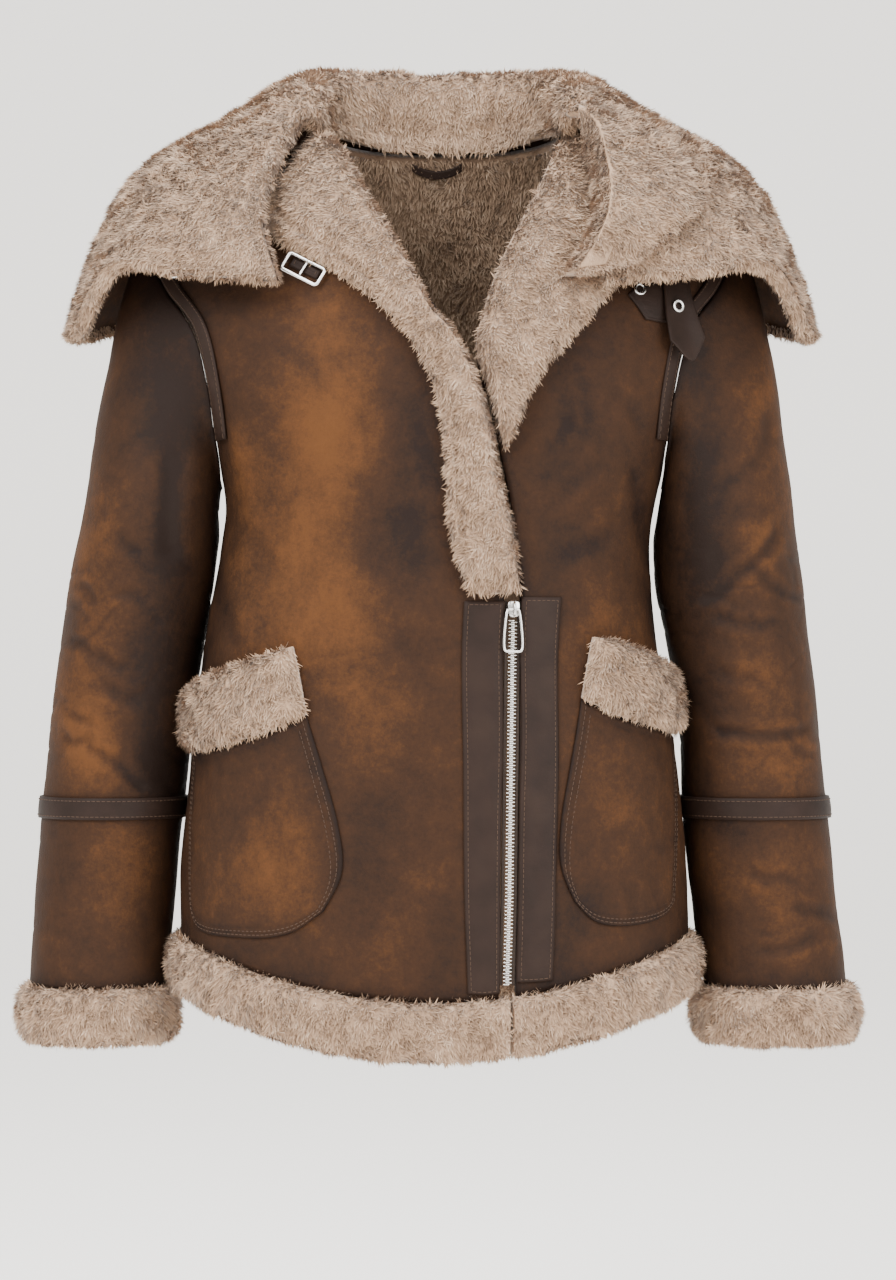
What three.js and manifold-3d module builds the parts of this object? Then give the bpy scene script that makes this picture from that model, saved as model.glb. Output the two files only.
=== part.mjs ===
// A woman's shearling flying jacket, filled out as if worn: two fronts, a back, two sleeves, a wide
// two-piece collar, turned-back lapels, patch pockets, an off-centre zip and fur bands on every edge.
// Millimetres, +Z up, the front faces -Y, +X is the wearer's left. The origin is where the shoulders
// carry the coat: the middle of the neck, at the height of the shoulder seams' middles.
import * as THREE from "three";
import { mergeVertices } from "three/addons/utils/BufferGeometryUtils.js";
import Module from "manifold-3d";

// Driving dimensions.
const SKIN = 8; // body and sleeve wall, hide with its short pile
const COLLAR_THICK = 18; // collar wall, hide with its long pile
const LAPEL_THICK = 15;
const POCKET_THICK = 2.4;
const BAND_THICK = 2; // plain leather strips
const FUR_BAND_THICK = 13;
const SEAM = 0.2; // each panel stands this far back from a seam
const REST = 0.6; // what lies on a panel stands this far off it
const ZIP_HALF_SLOT = 6;
const ROLL_OUT = 9.5; // how far a fur roll stands proud of the leather
const ROLL_IN = 18;
const HEM_ROLL_HEIGHT = 42;
const CUFF_ROLL_HEIGHT = 41;
const SLEEVE_SPLIT_Z = -474;
const SLEEVE_END_Z = -607;

// The torso's rings, from the hem up. z is the height at the middle of the ring, drop how much lower its
// sides are, half the half-width, front and back the depths each way from mid_y, and square the
// squareness of the ring (2 is an ellipse).
const TORSO = [
  { z: -609, drop: -42, half: 190, front: 132, back: 121, mid_x: -5, mid_y: 0, square: 2.3 },
  { z: -540, drop: -20, half: 189, front: 131, back: 119, mid_x: -6, mid_y: 0, square: 2.3 },
  { z: -450, drop: -6, half: 182, front: 127, back: 115, mid_x: -6, mid_y: 0, square: 2.3 },
  { z: -349, drop: 0, half: 169, front: 121, back: 108, mid_x: -8, mid_y: 0, square: 2.3 },
  { z: -275, drop: 0, half: 160, front: 116, back: 103, mid_x: -4, mid_y: 0, square: 2.35 },
  { z: -230, drop: 4, half: 163, front: 115, back: 101, mid_x: 0, mid_y: 1, square: 2.5 },
  { z: -155, drop: 16, half: 180, front: 110, back: 99, mid_x: 0, mid_y: 2, square: 2.9 },
  { z: -88, drop: 42, half: 200, front: 97, back: 92, mid_x: 0, mid_y: 5, square: 2.9 },
  { z: -28, drop: 72, half: 216, front: 76, back: 76, mid_x: 0, mid_y: 8, square: 2.8 },
  { z: 18, drop: 90, half: 223, front: 50, back: 54, mid_x: 0, mid_y: 11, square: 2.6 },
  { z: 39, drop: 98, half: 226, front: 25, back: 28, mid_x: 0, mid_y: 12, square: 2.4 },
  { z: 46, drop: 101, half: 226, front: 0, back: 0, mid_x: 0, mid_y: 12, square: 2.4 },
];
const ARMPIT_ROW = 5;
const TOP_ROW = TORSO.length - 1;
// The armhole's distance from the middle at each row from the armpit up.
const ARMHOLE = [
  { row: 5, front: 163, back: 163 },
  { row: 6, front: 170, back: 175 },
  { row: 7, front: 181, back: 186 },
  { row: 8, front: 203, back: 204 },
  { row: 9, front: 216, back: 216 },
  { row: 10, front: 220, back: 220 },
  { row: 11, front: 221, back: 221 },
];
// The neckline on the back, as the row that it reaches at each distance from the middle.
const NECK_HALF = 88;
const BACK_NECK_ROW = 9.15;

// The zip's line and the two roll lines, as x at each height.
const ZIP_LINE = [
  { z: -640, x: 50 },
  { z: -593, x: 47.5 },
  { z: -536, x: 49 },
  { z: -464, x: 50 },
  { z: -392, x: 51 },
  { z: -318, x: 52 },
];
const ZIP_TOP_Z = -318;
const ZIP_BOTTOM_Z = -597;
const ROLL_LINE_RIGHT = [
  { z: -318, x: 52 },
  { z: -263, x: 49 },
  { z: -198, x: 35 },
  { z: -143, x: 18 },
  { z: -65, x: -30 },
  { z: -17, x: -57 },
  { z: 31, x: -86 },
];
const ROLL_LINE_LEFT = [
  { z: -318, x: 52 },
  { z: -263, x: 52 },
  { z: -198, x: 39 },
  { z: -143, x: 25 },
  { z: -110, x: 31 },
  { z: -71, x: 45 },
  { z: -40, x: 60 },
  { z: 0, x: 77 },
  { z: 31, x: 90 },
];

// Sleeve rings below the armhole, as height, centre, half-width across and half-depth front to back.
const SLEEVES = {
  right: [
    { z: -276, x: -220, y: 9, half: 53.5, depth: 71 },
    { z: -320, x: -227.5, y: 11, half: 54, depth: 67 },
    { z: -394, x: -238.5, y: 13, half: 53.5, depth: 63 },
    { z: -469, x: -246.5, y: 14, half: 53.5, depth: 60 },
    { z: -544, x: -253, y: 12, half: 52.5, depth: 57 },
    { z: -607, x: -258, y: 9, half: 51.5, depth: 55 },
  ],
  left: [
    { z: -276, x: 213.5, y: 9, half: 54, depth: 71 },
    { z: -320, x: 218, y: 11, half: 55, depth: 67 },
    { z: -394, x: 229.5, y: 13, half: 52.5, depth: 63 },
    { z: -469, x: 235.5, y: 14, half: 54.5, depth: 60 },
    { z: -544, x: 242.5, y: 12, half: 54.5, depth: 57 },
    { z: -607, x: 251, y: 9, half: 53.5, depth: 55 },
  ],
};

// Collar sections for the wearer's right half, from the centre back round to the front end. Each names
// five points on the middle of the wall: neck seam, ridge, fall, drape and outer edge.
const COLLAR = [
  {
    seam: [0, 57.5, 23.5], ridge: [0, 68, 74], fall: [0, 101, 45],
    drape: [0, 116, -12], edge: [0, 122, -80],
  },
  {
    seam: [-40, 53, 25], ridge: [-45, 62, 75], fall: [-66, 97, 46],
    drape: [-84, 114, -12], edge: [-96, 120, -84],
  },
  {
    seam: [-69, 35, 31], ridge: [-84, 41, 74], fall: [-124, 72, 42],
    drape: [-166, 88, -14], edge: [-196, 98, -98],
  },
  {
    seam: [-84, 14, 33], ridge: [-99, 15, 68], fall: [-152, 22, 40],
    drape: [-225, 30, -12], edge: [-272, 34, -119],
  },
  {
    seam: [-86, 4, 34], ridge: [-99, -3, 63], fall: [-150, -8, 33],
    drape: [-222, -20, -16], edge: [-270, -12, -117],
  },
  {
    seam: [-87, -6, 32.5], ridge: [-98, -16, 57], fall: [-144, -34, 23],
    drape: [-200, -58, -30], edge: [-238, -68, -76],
  },
  {
    seam: [-88, -14, 30], ridge: [-98, -26, 48], fall: [-134, -54, 13],
    drape: [-168, -80, -36], edge: [-182, -98, -82],
  },
  {
    seam: [-92, -24, 27.5], ridge: [-101, -38, 36], fall: [-119, -66, 5],
    drape: [-131, -93, -40], edge: [-119, -108, -88],
  },
];

const MATERIALS = {
  hide: new THREE.MeshStandardMaterial({ color: 0x6b452c, roughness: 0.85, metalness: 0 }),
  fur: new THREE.MeshStandardMaterial({ color: 0x9c8270, roughness: 1, metalness: 0 }),
  strip: new THREE.MeshStandardMaterial({ color: 0x4f3a30, roughness: 0.5, metalness: 0 }),
  tape: new THREE.MeshStandardMaterial({ color: 0x231d19, roughness: 0.9, metalness: 0 }),
  metal: new THREE.MeshStandardMaterial({ color: 0xc9c7bf, roughness: 0.3, metalness: 1 }),
};

const coat = new THREE.Group();

// Adds one named piece to the coat, or to a group given instead.
function add(name, geometry, material, parent = coat) {
  const mesh = new THREE.Mesh(geometry, material);
  mesh.name = name;
  parent.add(mesh);
  return mesh;
}

const lerp = (a, b, t) => a + (b - a) * t;
const ANGLE_LENGTH = 150; // a radian and a row of the torso in mm, near enough to follow a curve by length
const ROW_LENGTH = 62;
const clamp = (x, low, high) => Math.min(high, Math.max(low, x));
const smooth = (t) => t * t * (3 - 2 * t);

// Catmull-Rom through four numbers, t of the way from b to c.
function curveThrough(a, b, c, d, t) {
  const slopeIn = (c - a) / 2;
  const slopeOut = (d - b) / 2;
  const t2 = t * t;
  const t3 = t2 * t;
  return (
    (2 * t3 - 3 * t2 + 1) * b +
    (t3 - 2 * t2 + t) * slopeIn +
    (-2 * t3 + 3 * t2) * c +
    (t3 - t2) * slopeOut
  );
}

// One named column of a table at a fractional row, by Catmull-Rom.
function column(table, name, row) {
  const last = table.length - 1;
  const r = clamp(row, 0, last);
  const i = Math.min(Math.floor(r), last - 1);
  const at = (k) => {
    if (k < 0) return 2 * table[0][name] - table[1][name];
    if (k > last) return 2 * table[last][name] - table[last - 1][name];
    return table[k][name];
  };
  return curveThrough(at(i - 1), at(i), at(i + 1), at(i + 2), r - i);
}

// The value of one column where another column, which rises down the table, has a given value.
function lookUp(table, key, value, name) {
  const rising = table[0][key] < table[table.length - 1][key];
  let low = 0;
  let high = table.length - 1;
  for (let k = 0; k < 40; k++) {
    const middle = (low + high) / 2;
    if (column(table, key, middle) < value === rising) low = middle;
    else high = middle;
  }
  return column(table, name, low);
}

// A ring of the torso at a fractional row: every column, and how half, front, back and z change there.
function ringAt(row) {
  const ring = {};
  for (const name of Object.keys(TORSO[0])) ring[name] = column(TORSO, name, row);
  const step = 0.02;
  const below = Math.max(0, row - step);
  const above = Math.min(TOP_ROW, row + step);
  const change = (name) => (column(TORSO, name, above) - column(TORSO, name, below)) / (above - below);
  ring.climb = change("z");
  ring.lower = change("drop");
  ring.widen = change("half");
  ring.deepen_front = change("front");
  ring.deepen_back = change("back");
  return ring;
}

// A point of the torso: angle 0 is the front middle, positive towards +X, and a quarter turn is the side
// seam. out moves it off the leather along the surface's normal.
function torsoPoint(angle, row, out) {
  const ring = ringAt(row);
  const sine = Math.sin(angle);
  const cosine = Math.cos(angle);
  const across = Math.sign(sine) * Math.abs(sine) ** (2 / ring.square);
  const along = -Math.sign(cosine) * Math.abs(cosine) ** (2 / ring.square);
  const isFront = cosine >= 0;
  const depth = isFront ? ring.front : ring.back;
  const outX = (Math.sign(across) * Math.abs(across) ** (ring.square - 1)) / ring.half;
  const outY = (Math.sign(along) * Math.abs(along) ** (ring.square - 1)) / Math.max(depth, 1);
  const slope = (-2 * ring.drop * across) / ring.half;
  const round = new THREE.Vector3(-outY, outX, -outY * slope).normalize();
  const rise = new THREE.Vector3(
    ring.widen * across,
    (isFront ? ring.deepen_front : ring.deepen_back) * along,
    ring.climb - ring.lower * across * across,
  );
  const normal = round.cross(rise);
  if (normal.dot(new THREE.Vector3(outX, outY, 0.002)) < 0) normal.negate();
  normal.y *= clamp((TOP_ROW - row) / 0.9, 0, 1);
  return new THREE.Vector3(
    ring.mid_x + ring.half * across,
    ring.mid_y + depth * along,
    ring.z - ring.drop * across * across,
  ).addScaledVector(normal.normalize(), out);
}

// The row and angle of the point on the torso's front, or its back, that is seen at x and z.
function locate(x, z, onBack = false) {
  let low = 0;
  let high = TOP_ROW;
  const share = (row) => clamp((x - column(TORSO, "mid_x", row)) / column(TORSO, "half", row), -1, 1);
  for (let k = 0; k < 40; k++) {
    const middle = (low + high) / 2;
    const height = column(TORSO, "z", middle) - column(TORSO, "drop", middle) * share(middle) ** 2;
    if (height < z) low = middle;
    else high = middle;
  }
  const s = share(low);
  const angle = Math.asin(clamp(Math.sign(s) * Math.abs(s) ** (column(TORSO, "square", low) / 2), -1, 1));
  return { row: low, angle: onBack ? Math.PI - angle : angle };
}

// The angle at which a ring of the torso lies at distance x from its middle.
function angleAt(row, x, onBack = false) {
  const s = clamp(x / column(TORSO, "half", row), -1, 1);
  const angle = Math.asin(Math.sign(s) * Math.abs(s) ** (column(TORSO, "square", row) / 2));
  return onBack ? Math.PI - angle : angle;
}

// The angle of the armhole's edge at a row. side is -1 for the wearer's right.
function armholeAngle(row, side, onBack) {
  if (row <= ARMPIT_ROW) return (onBack ? Math.PI : 0) + (onBack ? -side : side) * (Math.PI / 2);
  const x = side * column(ARMHOLE, onBack ? "back" : "front", row - ARMPIT_ROW);
  return angleAt(row, x, onBack);
}

// Closes a wall between an outer and an inner grid of points into one solid, facing out. Where round is
// true the grid's first direction runs round on itself.
function wall(across, down, outer, inner, round = false) {
  const columns = round ? across : across + 1;
  const points = [];
  for (const side of [outer, inner]) {
    for (let j = 0; j <= down; j++) {
      for (let i = 0; i < columns; i++) points.push(...side(i / across, j / down).toArray());
    }
  }
  const at = (side, i, j) => side * columns * (down + 1) + j * columns + (round ? i % across : i);
  const faces = [];
  const quad = (a, b, c, d) => faces.push(a, b, c, a, c, d);
  for (let j = 0; j < down; j++) {
    for (let i = 0; i < across; i++) {
      quad(at(0, i, j), at(0, i + 1, j), at(0, i + 1, j + 1), at(0, i, j + 1));
      quad(at(1, i, j), at(1, i, j + 1), at(1, i + 1, j + 1), at(1, i + 1, j));
    }
  }
  for (let i = 0; i < across; i++) {
    quad(at(0, i, 0), at(1, i, 0), at(1, i + 1, 0), at(0, i + 1, 0));
    quad(at(0, i, down), at(0, i + 1, down), at(1, i + 1, down), at(1, i, down));
  }
  if (!round) {
    for (let j = 0; j < down; j++) {
      quad(at(0, 0, j), at(0, 0, j + 1), at(1, 0, j + 1), at(1, 0, j));
      quad(at(0, across, j), at(1, across, j), at(1, across, j + 1), at(0, across, j + 1));
    }
  }
  return facingOut(points, faces);
}

// A bar of closed section carried along a path: section(s, t) is a point at s of the way round the
// section and t of the way along. A ring runs round on itself, and a bar gets flat ends.
function roll(around, along, section, ring = false) {
  const stations = ring ? along : along + 1;
  const points = [];
  for (let j = 0; j < stations; j++) {
    for (let i = 0; i < around; i++) points.push(...section(i / around, j / along).toArray());
  }
  const faces = [];
  const at = (i, j) => (ring ? j % along : j) * around + (i % around);
  for (let j = 0; j < along; j++) {
    for (let i = 0; i < around; i++) {
      faces.push(at(i, j), at(i + 1, j), at(i + 1, j + 1), at(i, j), at(i + 1, j + 1), at(i, j + 1));
    }
  }
  if (!ring) {
    for (let i = 1; i < around - 1; i++) {
      faces.push(at(0, 0), at(i + 1, 0), at(i, 0));
      faces.push(at(0, along), at(i, along), at(i + 1, along));
    }
  }
  return facingOut(points, faces);
}

// A geometry from points and triangles, turned round if its volume comes out negative.
function facingOut(points, faces) {
  const corner = (k) => new THREE.Vector3().fromArray(points, 3 * k);
  let volume = 0;
  for (let k = 0; k < faces.length; k += 3) {
    volume += corner(faces[k]).dot(corner(faces[k + 1]).cross(corner(faces[k + 2])));
  }
  if (volume < 0) {
    for (let k = 0; k < faces.length; k += 3) [faces[k + 1], faces[k + 2]] = [faces[k + 2], faces[k + 1]];
  }
  const geometry = new THREE.BufferGeometry();
  geometry.setAttribute("position", new THREE.Float32BufferAttribute(points, 3));
  geometry.setIndex(faces);
  return mergeVertices(geometry);
}

// A patch bounded by four curves, each a function from 0 to 1 that gives a Vector2.
function patch(bottom, top, left, right) {
  return (s, t) => {
    const mixed = new THREE.Vector2();
    mixed.addScaledVector(bottom(s), 1 - t).addScaledVector(top(s), t);
    mixed.addScaledVector(left(t), 1 - s).addScaledVector(right(t), s);
    mixed.addScaledVector(bottom(0), -(1 - s) * (1 - t)).addScaledVector(bottom(1), -s * (1 - t));
    mixed.addScaledVector(top(0), -(1 - s) * t).addScaledVector(top(1), -s * t);
    return mixed;
  };
}

// A curve on the torso's front through points given as [x, z], followed by its own length. It gives the
// angle and the row at 0 to 1 of the way.
function through(points) {
  const curve = new THREE.CatmullRomCurve3(
    points.map(([x, z]) => {
      const { row, angle } = locate(x, z);
      return new THREE.Vector3(angle * ANGLE_LENGTH, row * ROW_LENGTH, 0);
    }),
    false,
    "centripetal",
  );
  return (t) => {
    const p = curve.getPointAt(clamp(t, 0, 1));
    return new THREE.Vector2(p.x / ANGLE_LENGTH, p.y / ROW_LENGTH);
  };
}

// How thick a rounded pad is at s, t of its patch: full inside, and down to a thin lip at its edges.
function padded(thick, roundS, roundT, lip = 0.25) {
  const edge = (x, round) => {
    const d = clamp(Math.min(x, 1 - x) / round, 0, 1);
    return Math.sqrt(1 - (1 - d) ** 2);
  };
  return (s, t) => thick * Math.max(lip, Math.min(edge(s, roundS), edge(t, roundT)));
}

// A pad lying on the torso's front, over a patch of angle and row.
function frontPad(area, across, down, thick, lift = () => REST) {
  const at = (s, t, out) => {
    const p = area(s, t);
    return torsoPoint(p.x, p.y, out);
  };
  return wall(
    across,
    down,
    (s, t) => at(s, t, lift(s, t) + thick(s, t)),
    (s, t) => at(s, t, lift(s, t)),
  );
}

// A panel's rows: the lower share of them up to the armpit, and the rest one for each sleeve station.
const LOWER_STEPS = 10;
const UPPER_STEPS = 12;
const PANEL_STEPS = LOWER_STEPS + UPPER_STEPS;
function panelRow(t) {
  const step = t * PANEL_STEPS;
  if (step <= LOWER_STEPS) return (ARMPIT_ROW * step) / LOWER_STEPS;
  return ARMPIT_ROW + ((TOP_ROW - ARMPIT_ROW) * (step - LOWER_STEPS)) / UPPER_STEPS;
}

// Front panels. Their patch is in angle and row: hem below, shoulder seam above, the side seam and
// armhole on one side, and the zip and roll line on the other.
function frontPanel(side, rollLine) {
  const zipGap = side * ZIP_HALF_SLOT;
  const edge = (z) => {
    const isZip = z < ZIP_TOP_Z + 8;
    const x = isZip ? lookUp(ZIP_LINE, "z", z, "x") : lookUp(rollLine, "z", z, "x");
    const slot = isZip ? 1 : clamp(1 - (z - ZIP_TOP_Z - 8) / 30, 0, 1);
    return x + zipGap * slot + side * SEAM * 2;
  };
  const rollTop = rollLine[rollLine.length - 1];
  const hemX = edge(ZIP_LINE[0].z);
  const centreAt = (t) => {
    const row = panelRow(t);
    let x = edge(column(TORSO, "z", row));
    for (let k = 0; k < 12; k++) {
      const share = (x - column(TORSO, "mid_x", row)) / column(TORSO, "half", row);
      x = edge(Math.min(rollTop.z, column(TORSO, "z", row) - column(TORSO, "drop", row) * share ** 2));
    }
    return new THREE.Vector2(angleAt(row, x - column(TORSO, "mid_x", row)), row);
  };
  const sideAt = (t) => {
    const row = panelRow(t);
    return new THREE.Vector2(armholeAngle(row, side, false), row);
  };
  const hemAngle = angleAt(0, hemX - TORSO[0].mid_x);
  const hemSide = side * (Math.PI / 2);
  const topOuter = angleAt(TOP_ROW, side * ARMHOLE[ARMHOLE.length - 1].front);
  const topInner = centreAt(1).x;
  const area = patch(
    (s) => new THREE.Vector2(lerp(hemSide, hemAngle, s), 0),
    (s) => new THREE.Vector2(lerp(topOuter, topInner, s), TOP_ROW),
    sideAt,
    centreAt,
  );
  const at = (s, t, out) => {
    const p = area(s, t);
    const point = torsoPoint(p.x, p.y, out);
    point.y -= SEAM;
    return point;
  };
  return wall(
    12,
    PANEL_STEPS,
    (s, t) => at(s, t, 0),
    (s, t) => at(s, t, -SKIN),
  );
}

// The back panel, in angle and row, whose top edge is one shoulder seam, the back of the neck and the
// other shoulder seam.
function backPanel() {
  const neckRow = (x) => {
    const share = clamp(Math.abs(x) / NECK_HALF, 0, 1);
    return lerp(BACK_NECK_ROW, TOP_ROW, 1 - Math.sqrt(1 - share ** 2.6));
  };
  const sideAt = (side) => (t) => {
    const row = panelRow(t);
    return new THREE.Vector2(armholeAngle(row, side, true), row);
  };
  const shoulder = ARMHOLE[ARMHOLE.length - 1].back;
  const top = (s) => {
    const x = lerp(-shoulder, shoulder, s);
    const row = neckRow(x);
    return new THREE.Vector2(angleAt(row, x, true), row);
  };
  const area = patch(
    (s) => new THREE.Vector2(lerp(1.5, 0.5, s) * Math.PI, 0),
    top,
    sideAt(-1),
    sideAt(1),
  );
  const at = (s, t, out) => {
    const p = area(s, t);
    const point = torsoPoint(p.x, p.y, out);
    point.y += SEAM;
    return point;
  };
  return wall(
    20,
    PANEL_STEPS,
    (s, t) => at(s, t, 0),
    (s, t) => at(s, t, -SKIN),
  );
}

add("front_right", frontPanel(-1, ROLL_LINE_RIGHT), MATERIALS.hide);
add("front_left", frontPanel(1, ROLL_LINE_LEFT), MATERIALS.hide);
add("back", backPanel(), MATERIALS.hide);

// A point of a sleeve: turn 0 is its outer side, a quarter is its front and a half its inner side. w from
// 0 to 1 runs from the armhole to the first ring of the table, and on from there one for each ring.
function sleevePoint(side, turn, w, out) {
  const table = side < 0 ? SLEEVES.right : SLEEVES.left;
  const a = turn * 2 * Math.PI;
  const ringPoint = (row) => {
    const half = column(table, "half", row) + out;
    const depth = column(table, "depth", row) + out;
    return new THREE.Vector3(
      column(table, "x", row) + side * half * Math.cos(a),
      column(table, "y", row) - depth * Math.sin(a),
      column(table, "z", row),
    );
  };
  if (w >= 1) return ringPoint(w - 1);
  const down = turn <= 0.5 ? turn * 2 : (1 - turn) * 2;
  const onBack = turn > 0.5;
  const row = lerp(TOP_ROW, ARMPIT_ROW, down);
  const angle = armholeAngle(row, side, onBack);
  const start = torsoPoint(angle, row, 0);
  start.x += side * 5 * SEAM;
  const torsoIn = torsoPoint(angle, row, -1).sub(torsoPoint(angle, row, 0));
  const ringIn = new THREE.Vector3(-side * Math.cos(a), Math.sin(a), 0);
  const turned = smooth(clamp((down - 0.35) / 0.4, 0, 1));
  const inward = torsoIn.lerp(ringIn, turned).normalize();
  start.addScaledVector(inward, -out);
  start.z -= turned * 1.5;
  const end = ringPoint(0);
  const reach = start.distanceTo(end);
  const leave = new THREE.Vector3(side * lerp(0.8, 0.95, down), 0, -lerp(0.6, 0.3, down)).normalize();
  const leaveReach = reach * lerp(0.34, 0.22, down);
  const arrive = ringPoint(0.02).sub(end).normalize().multiplyScalar(reach * lerp(1.15, 0.7, down));
  const w2 = w * w;
  const w3 = w2 * w;
  return new THREE.Vector3()
    .addScaledVector(start, 2 * w3 - 3 * w2 + 1)
    .addScaledVector(leave, (w3 - 2 * w2 + w) * leaveReach)
    .addScaledVector(end, -2 * w3 + 3 * w2)
    .addScaledVector(arrive, w3 - w2);
}

// How far along a sleeve, in rings, a height lies.
function sleeveRow(side, z) {
  const table = side < 0 ? SLEEVES.right : SLEEVES.left;
  let low = 0;
  let high = table.length - 1;
  for (let k = 0; k < 40; k++) {
    const middle = (low + high) / 2;
    if (column(table, "z", middle) > z) low = middle;
    else high = middle;
  }
  return low + 1;
}

function sleeveTube(side, from, to, rows, outer, inner) {
  return wall(
    2 * UPPER_STEPS,
    rows,
    (s, t) => sleevePoint(side, s, lerp(from, to, t), outer),
    (s, t) => sleevePoint(side, s, lerp(from, to, t), inner),
    true,
  );
}

// A fur roll round a sleeve's end, one closed ring.
function cuffRoll(side) {
  const end = sleeveRow(side, SLEEVE_END_Z);
  const middle = (ROLL_OUT - ROLL_IN) / 2;
  const reach = (ROLL_OUT + ROLL_IN) / 2;
  return roll(
    12,
    21,
    (s, t) => {
      const a = s * 2 * Math.PI;
      const rounded = (x) => Math.sign(x) * Math.abs(x) ** 0.7;
      const point = sleevePoint(side, t, end, middle + reach * rounded(Math.cos(a)));
      point.z = SLEEVE_END_Z - 0.3 - (CUFF_ROLL_HEIGHT / 2) * (1 - rounded(Math.sin(a)));
      return point;
    },
    true,
  );
}

for (const [name, side] of [
  ["right", -1],
  ["left", 1],
]) {
  const split = sleeveRow(side, SLEEVE_SPLIT_Z);
  const end = sleeveRow(side, SLEEVE_END_Z);
  const gap = 0.003;
  add("sleeve_upper_" + name, sleeveTube(side, 0, split - gap, 10, 0, -SKIN), MATERIALS.hide);
  add("sleeve_lower_" + name, sleeveTube(side, split + gap, end, 3, 0, -SKIN), MATERIALS.hide);
  const bandTop = sleeveRow(side, SLEEVE_SPLIT_Z + 8);
  const bandBottom = sleeveRow(side, SLEEVE_SPLIT_Z - 8);
  const band = sleeveTube(side, bandTop, bandBottom, 1, REST + BAND_THICK, REST);
  add("sleeve_band_" + name, band, MATERIALS.strip);
  add("cuff_fur_" + name, cuffRoll(side), MATERIALS.fur);
}

const HEM_GAP = 0.5;
// Hem rolls: a bar under the hem's edge, from one angle of the torso's lowest ring to another.
function hemRoll(from, to, along) {
  const middle = (ROLL_OUT - ROLL_IN) / 2;
  const reach = (ROLL_OUT + ROLL_IN) / 2;
  return roll(12, along, (s, t) => {
    const a = s * 2 * Math.PI;
    const rounded = (x) => Math.sign(x) * Math.abs(x) ** 0.7;
    const point = torsoPoint(lerp(from, to, t), 0, middle + reach * rounded(Math.cos(a)));
    const top = torsoPoint(lerp(from, to, t), 0, -SKIN / 2).z;
    point.z = top - HEM_GAP - (HEM_ROLL_HEIGHT / 2) * (1 - rounded(Math.sin(a)));
    return point;
  });
}
const HEM_ZIP_X = 50;
const hemZip = angleAt(0, HEM_ZIP_X - TORSO[0].mid_x);
const quarter = Math.PI / 2;
const jointGap = 0.003;
add("hem_fur_right", hemRoll(-quarter + jointGap, hemZip - 0.008, 18), MATERIALS.fur);
add("hem_fur_left", hemRoll(hemZip + 0.008, quarter - jointGap, 12), MATERIALS.fur);
add("hem_fur_back", hemRoll(quarter + jointGap, 3 * quarter - jointGap, 24), MATERIALS.fur);

// Lapels, the fronts' fur turned back along the roll lines.
const lapelRight = patch(
  through([[20, -315], [38, -316], [56, -313]]),
  through([[-128, -22], [-108, 0], [-86, 24]]),
  through([
    [20, -315],
    [8, -278],
    [4, -230],
    [-11, -150],
    [-35, -114],
    [-72, -84],
    [-116, -60],
    [-128, -44],
    [-128, -22],
  ]),
  through([[56, -313], [50, -263], [36, -198], [17, -142], [-30, -65], [-57, -17], [-86, 24]]),
);
add("lapel_right", frontPad(lapelRight, 6, 20, padded(LAPEL_THICK, 0.22, 0.06)), MATERIALS.fur);
const lapelLeft = patch(
  through([[46, -212], [44, -206], [41.5, -196]]),
  through([[184, -44], [168, -14], [126, 8], [92, 24]]),
  through([[46, -212], [68, -163], [103, -118], [146, -74], [178, -50], [184, -44]]),
  through([[41.5, -196], [26, -142], [31, -110], [45, -71], [60, -40], [77, -4], [92, 24]]),
);

const kernel = await Module();
kernel.setup();
function solid(geometry) {
  const merged = mergeVertices(geometry, 1e-3);
  const mesh = new kernel.Mesh({
    numProp: 3,
    vertProperties: merged.attributes.position.array,
    triVerts: new Uint32Array(merged.index.array),
  });
  return new kernel.Manifold(mesh);
}
function joined(first, second) {
  const mesh = solid(first).add(solid(second)).getMesh();
  return facingOut(Array.from(mesh.vertProperties), Array.from(mesh.triVerts));
}
// The collar, one wall for each half.
const COLLAR_POINTS = ["seam", "ridge", "fall", "drape", "edge"];
function collarMiddle(side, s, t) {
  const row = s * (COLLAR.length - 1);
  const k = t * (COLLAR_POINTS.length - 1);
  const point = [0, 1, 2].map((axis) => {
    const along = COLLAR_POINTS.map((name) => {
      const table = COLLAR.map((section) => ({ value: section[name][axis] }));
      return { value: column(table, "value", row) };
    });
    return column(along, "value", k);
  });
  return new THREE.Vector3(-side * point[0], point[1], point[2]);
}
function collarPoint(side, s, t, out) {
  const step = 0.01;
  const near = (x) => clamp(x, step, 1 - step);
  const alongS = collarMiddle(side, near(s) + step, t).sub(collarMiddle(side, near(s) - step, t));
  const alongT = collarMiddle(side, s, near(t) + step).sub(collarMiddle(side, s, near(t) - step));
  const normal = alongS.cross(alongT).normalize().multiplyScalar(side);
  return collarMiddle(side, s, t).addScaledVector(normal, out);
}
function collarHalf(side) {
  const thick = (s, t) => {
    const toEdge = clamp((1 - t) / 0.09, 0, 1);
    const toFront = clamp((1 - s) / 0.06, 0, 1);
    const d = Math.min(toEdge, toFront);
    const atSeam = lerp(SKIN / COLLAR_THICK, 1, smooth(clamp(t / 0.2, 0, 1)));
    return (COLLAR_THICK / 2) * Math.min(atSeam, Math.max(0.35, Math.sqrt(1 - (1 - d) ** 2)));
  };
  const at = (s, t, sign) => {
    const point = collarPoint(side, s, t, sign * thick(s, t));
    if (s < 1e-9) point.x = 0;
    point.x += side * SEAM;
    return point;
  };
  return wall(
    18,
    12,
    (s, t) => at(s, t, 1),
    (s, t) => at(s, t, -1),
  );
}
add("collar_right", collarHalf(-1), MATERIALS.fur);
add("collar_left", collarHalf(1), MATERIALS.fur);

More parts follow.
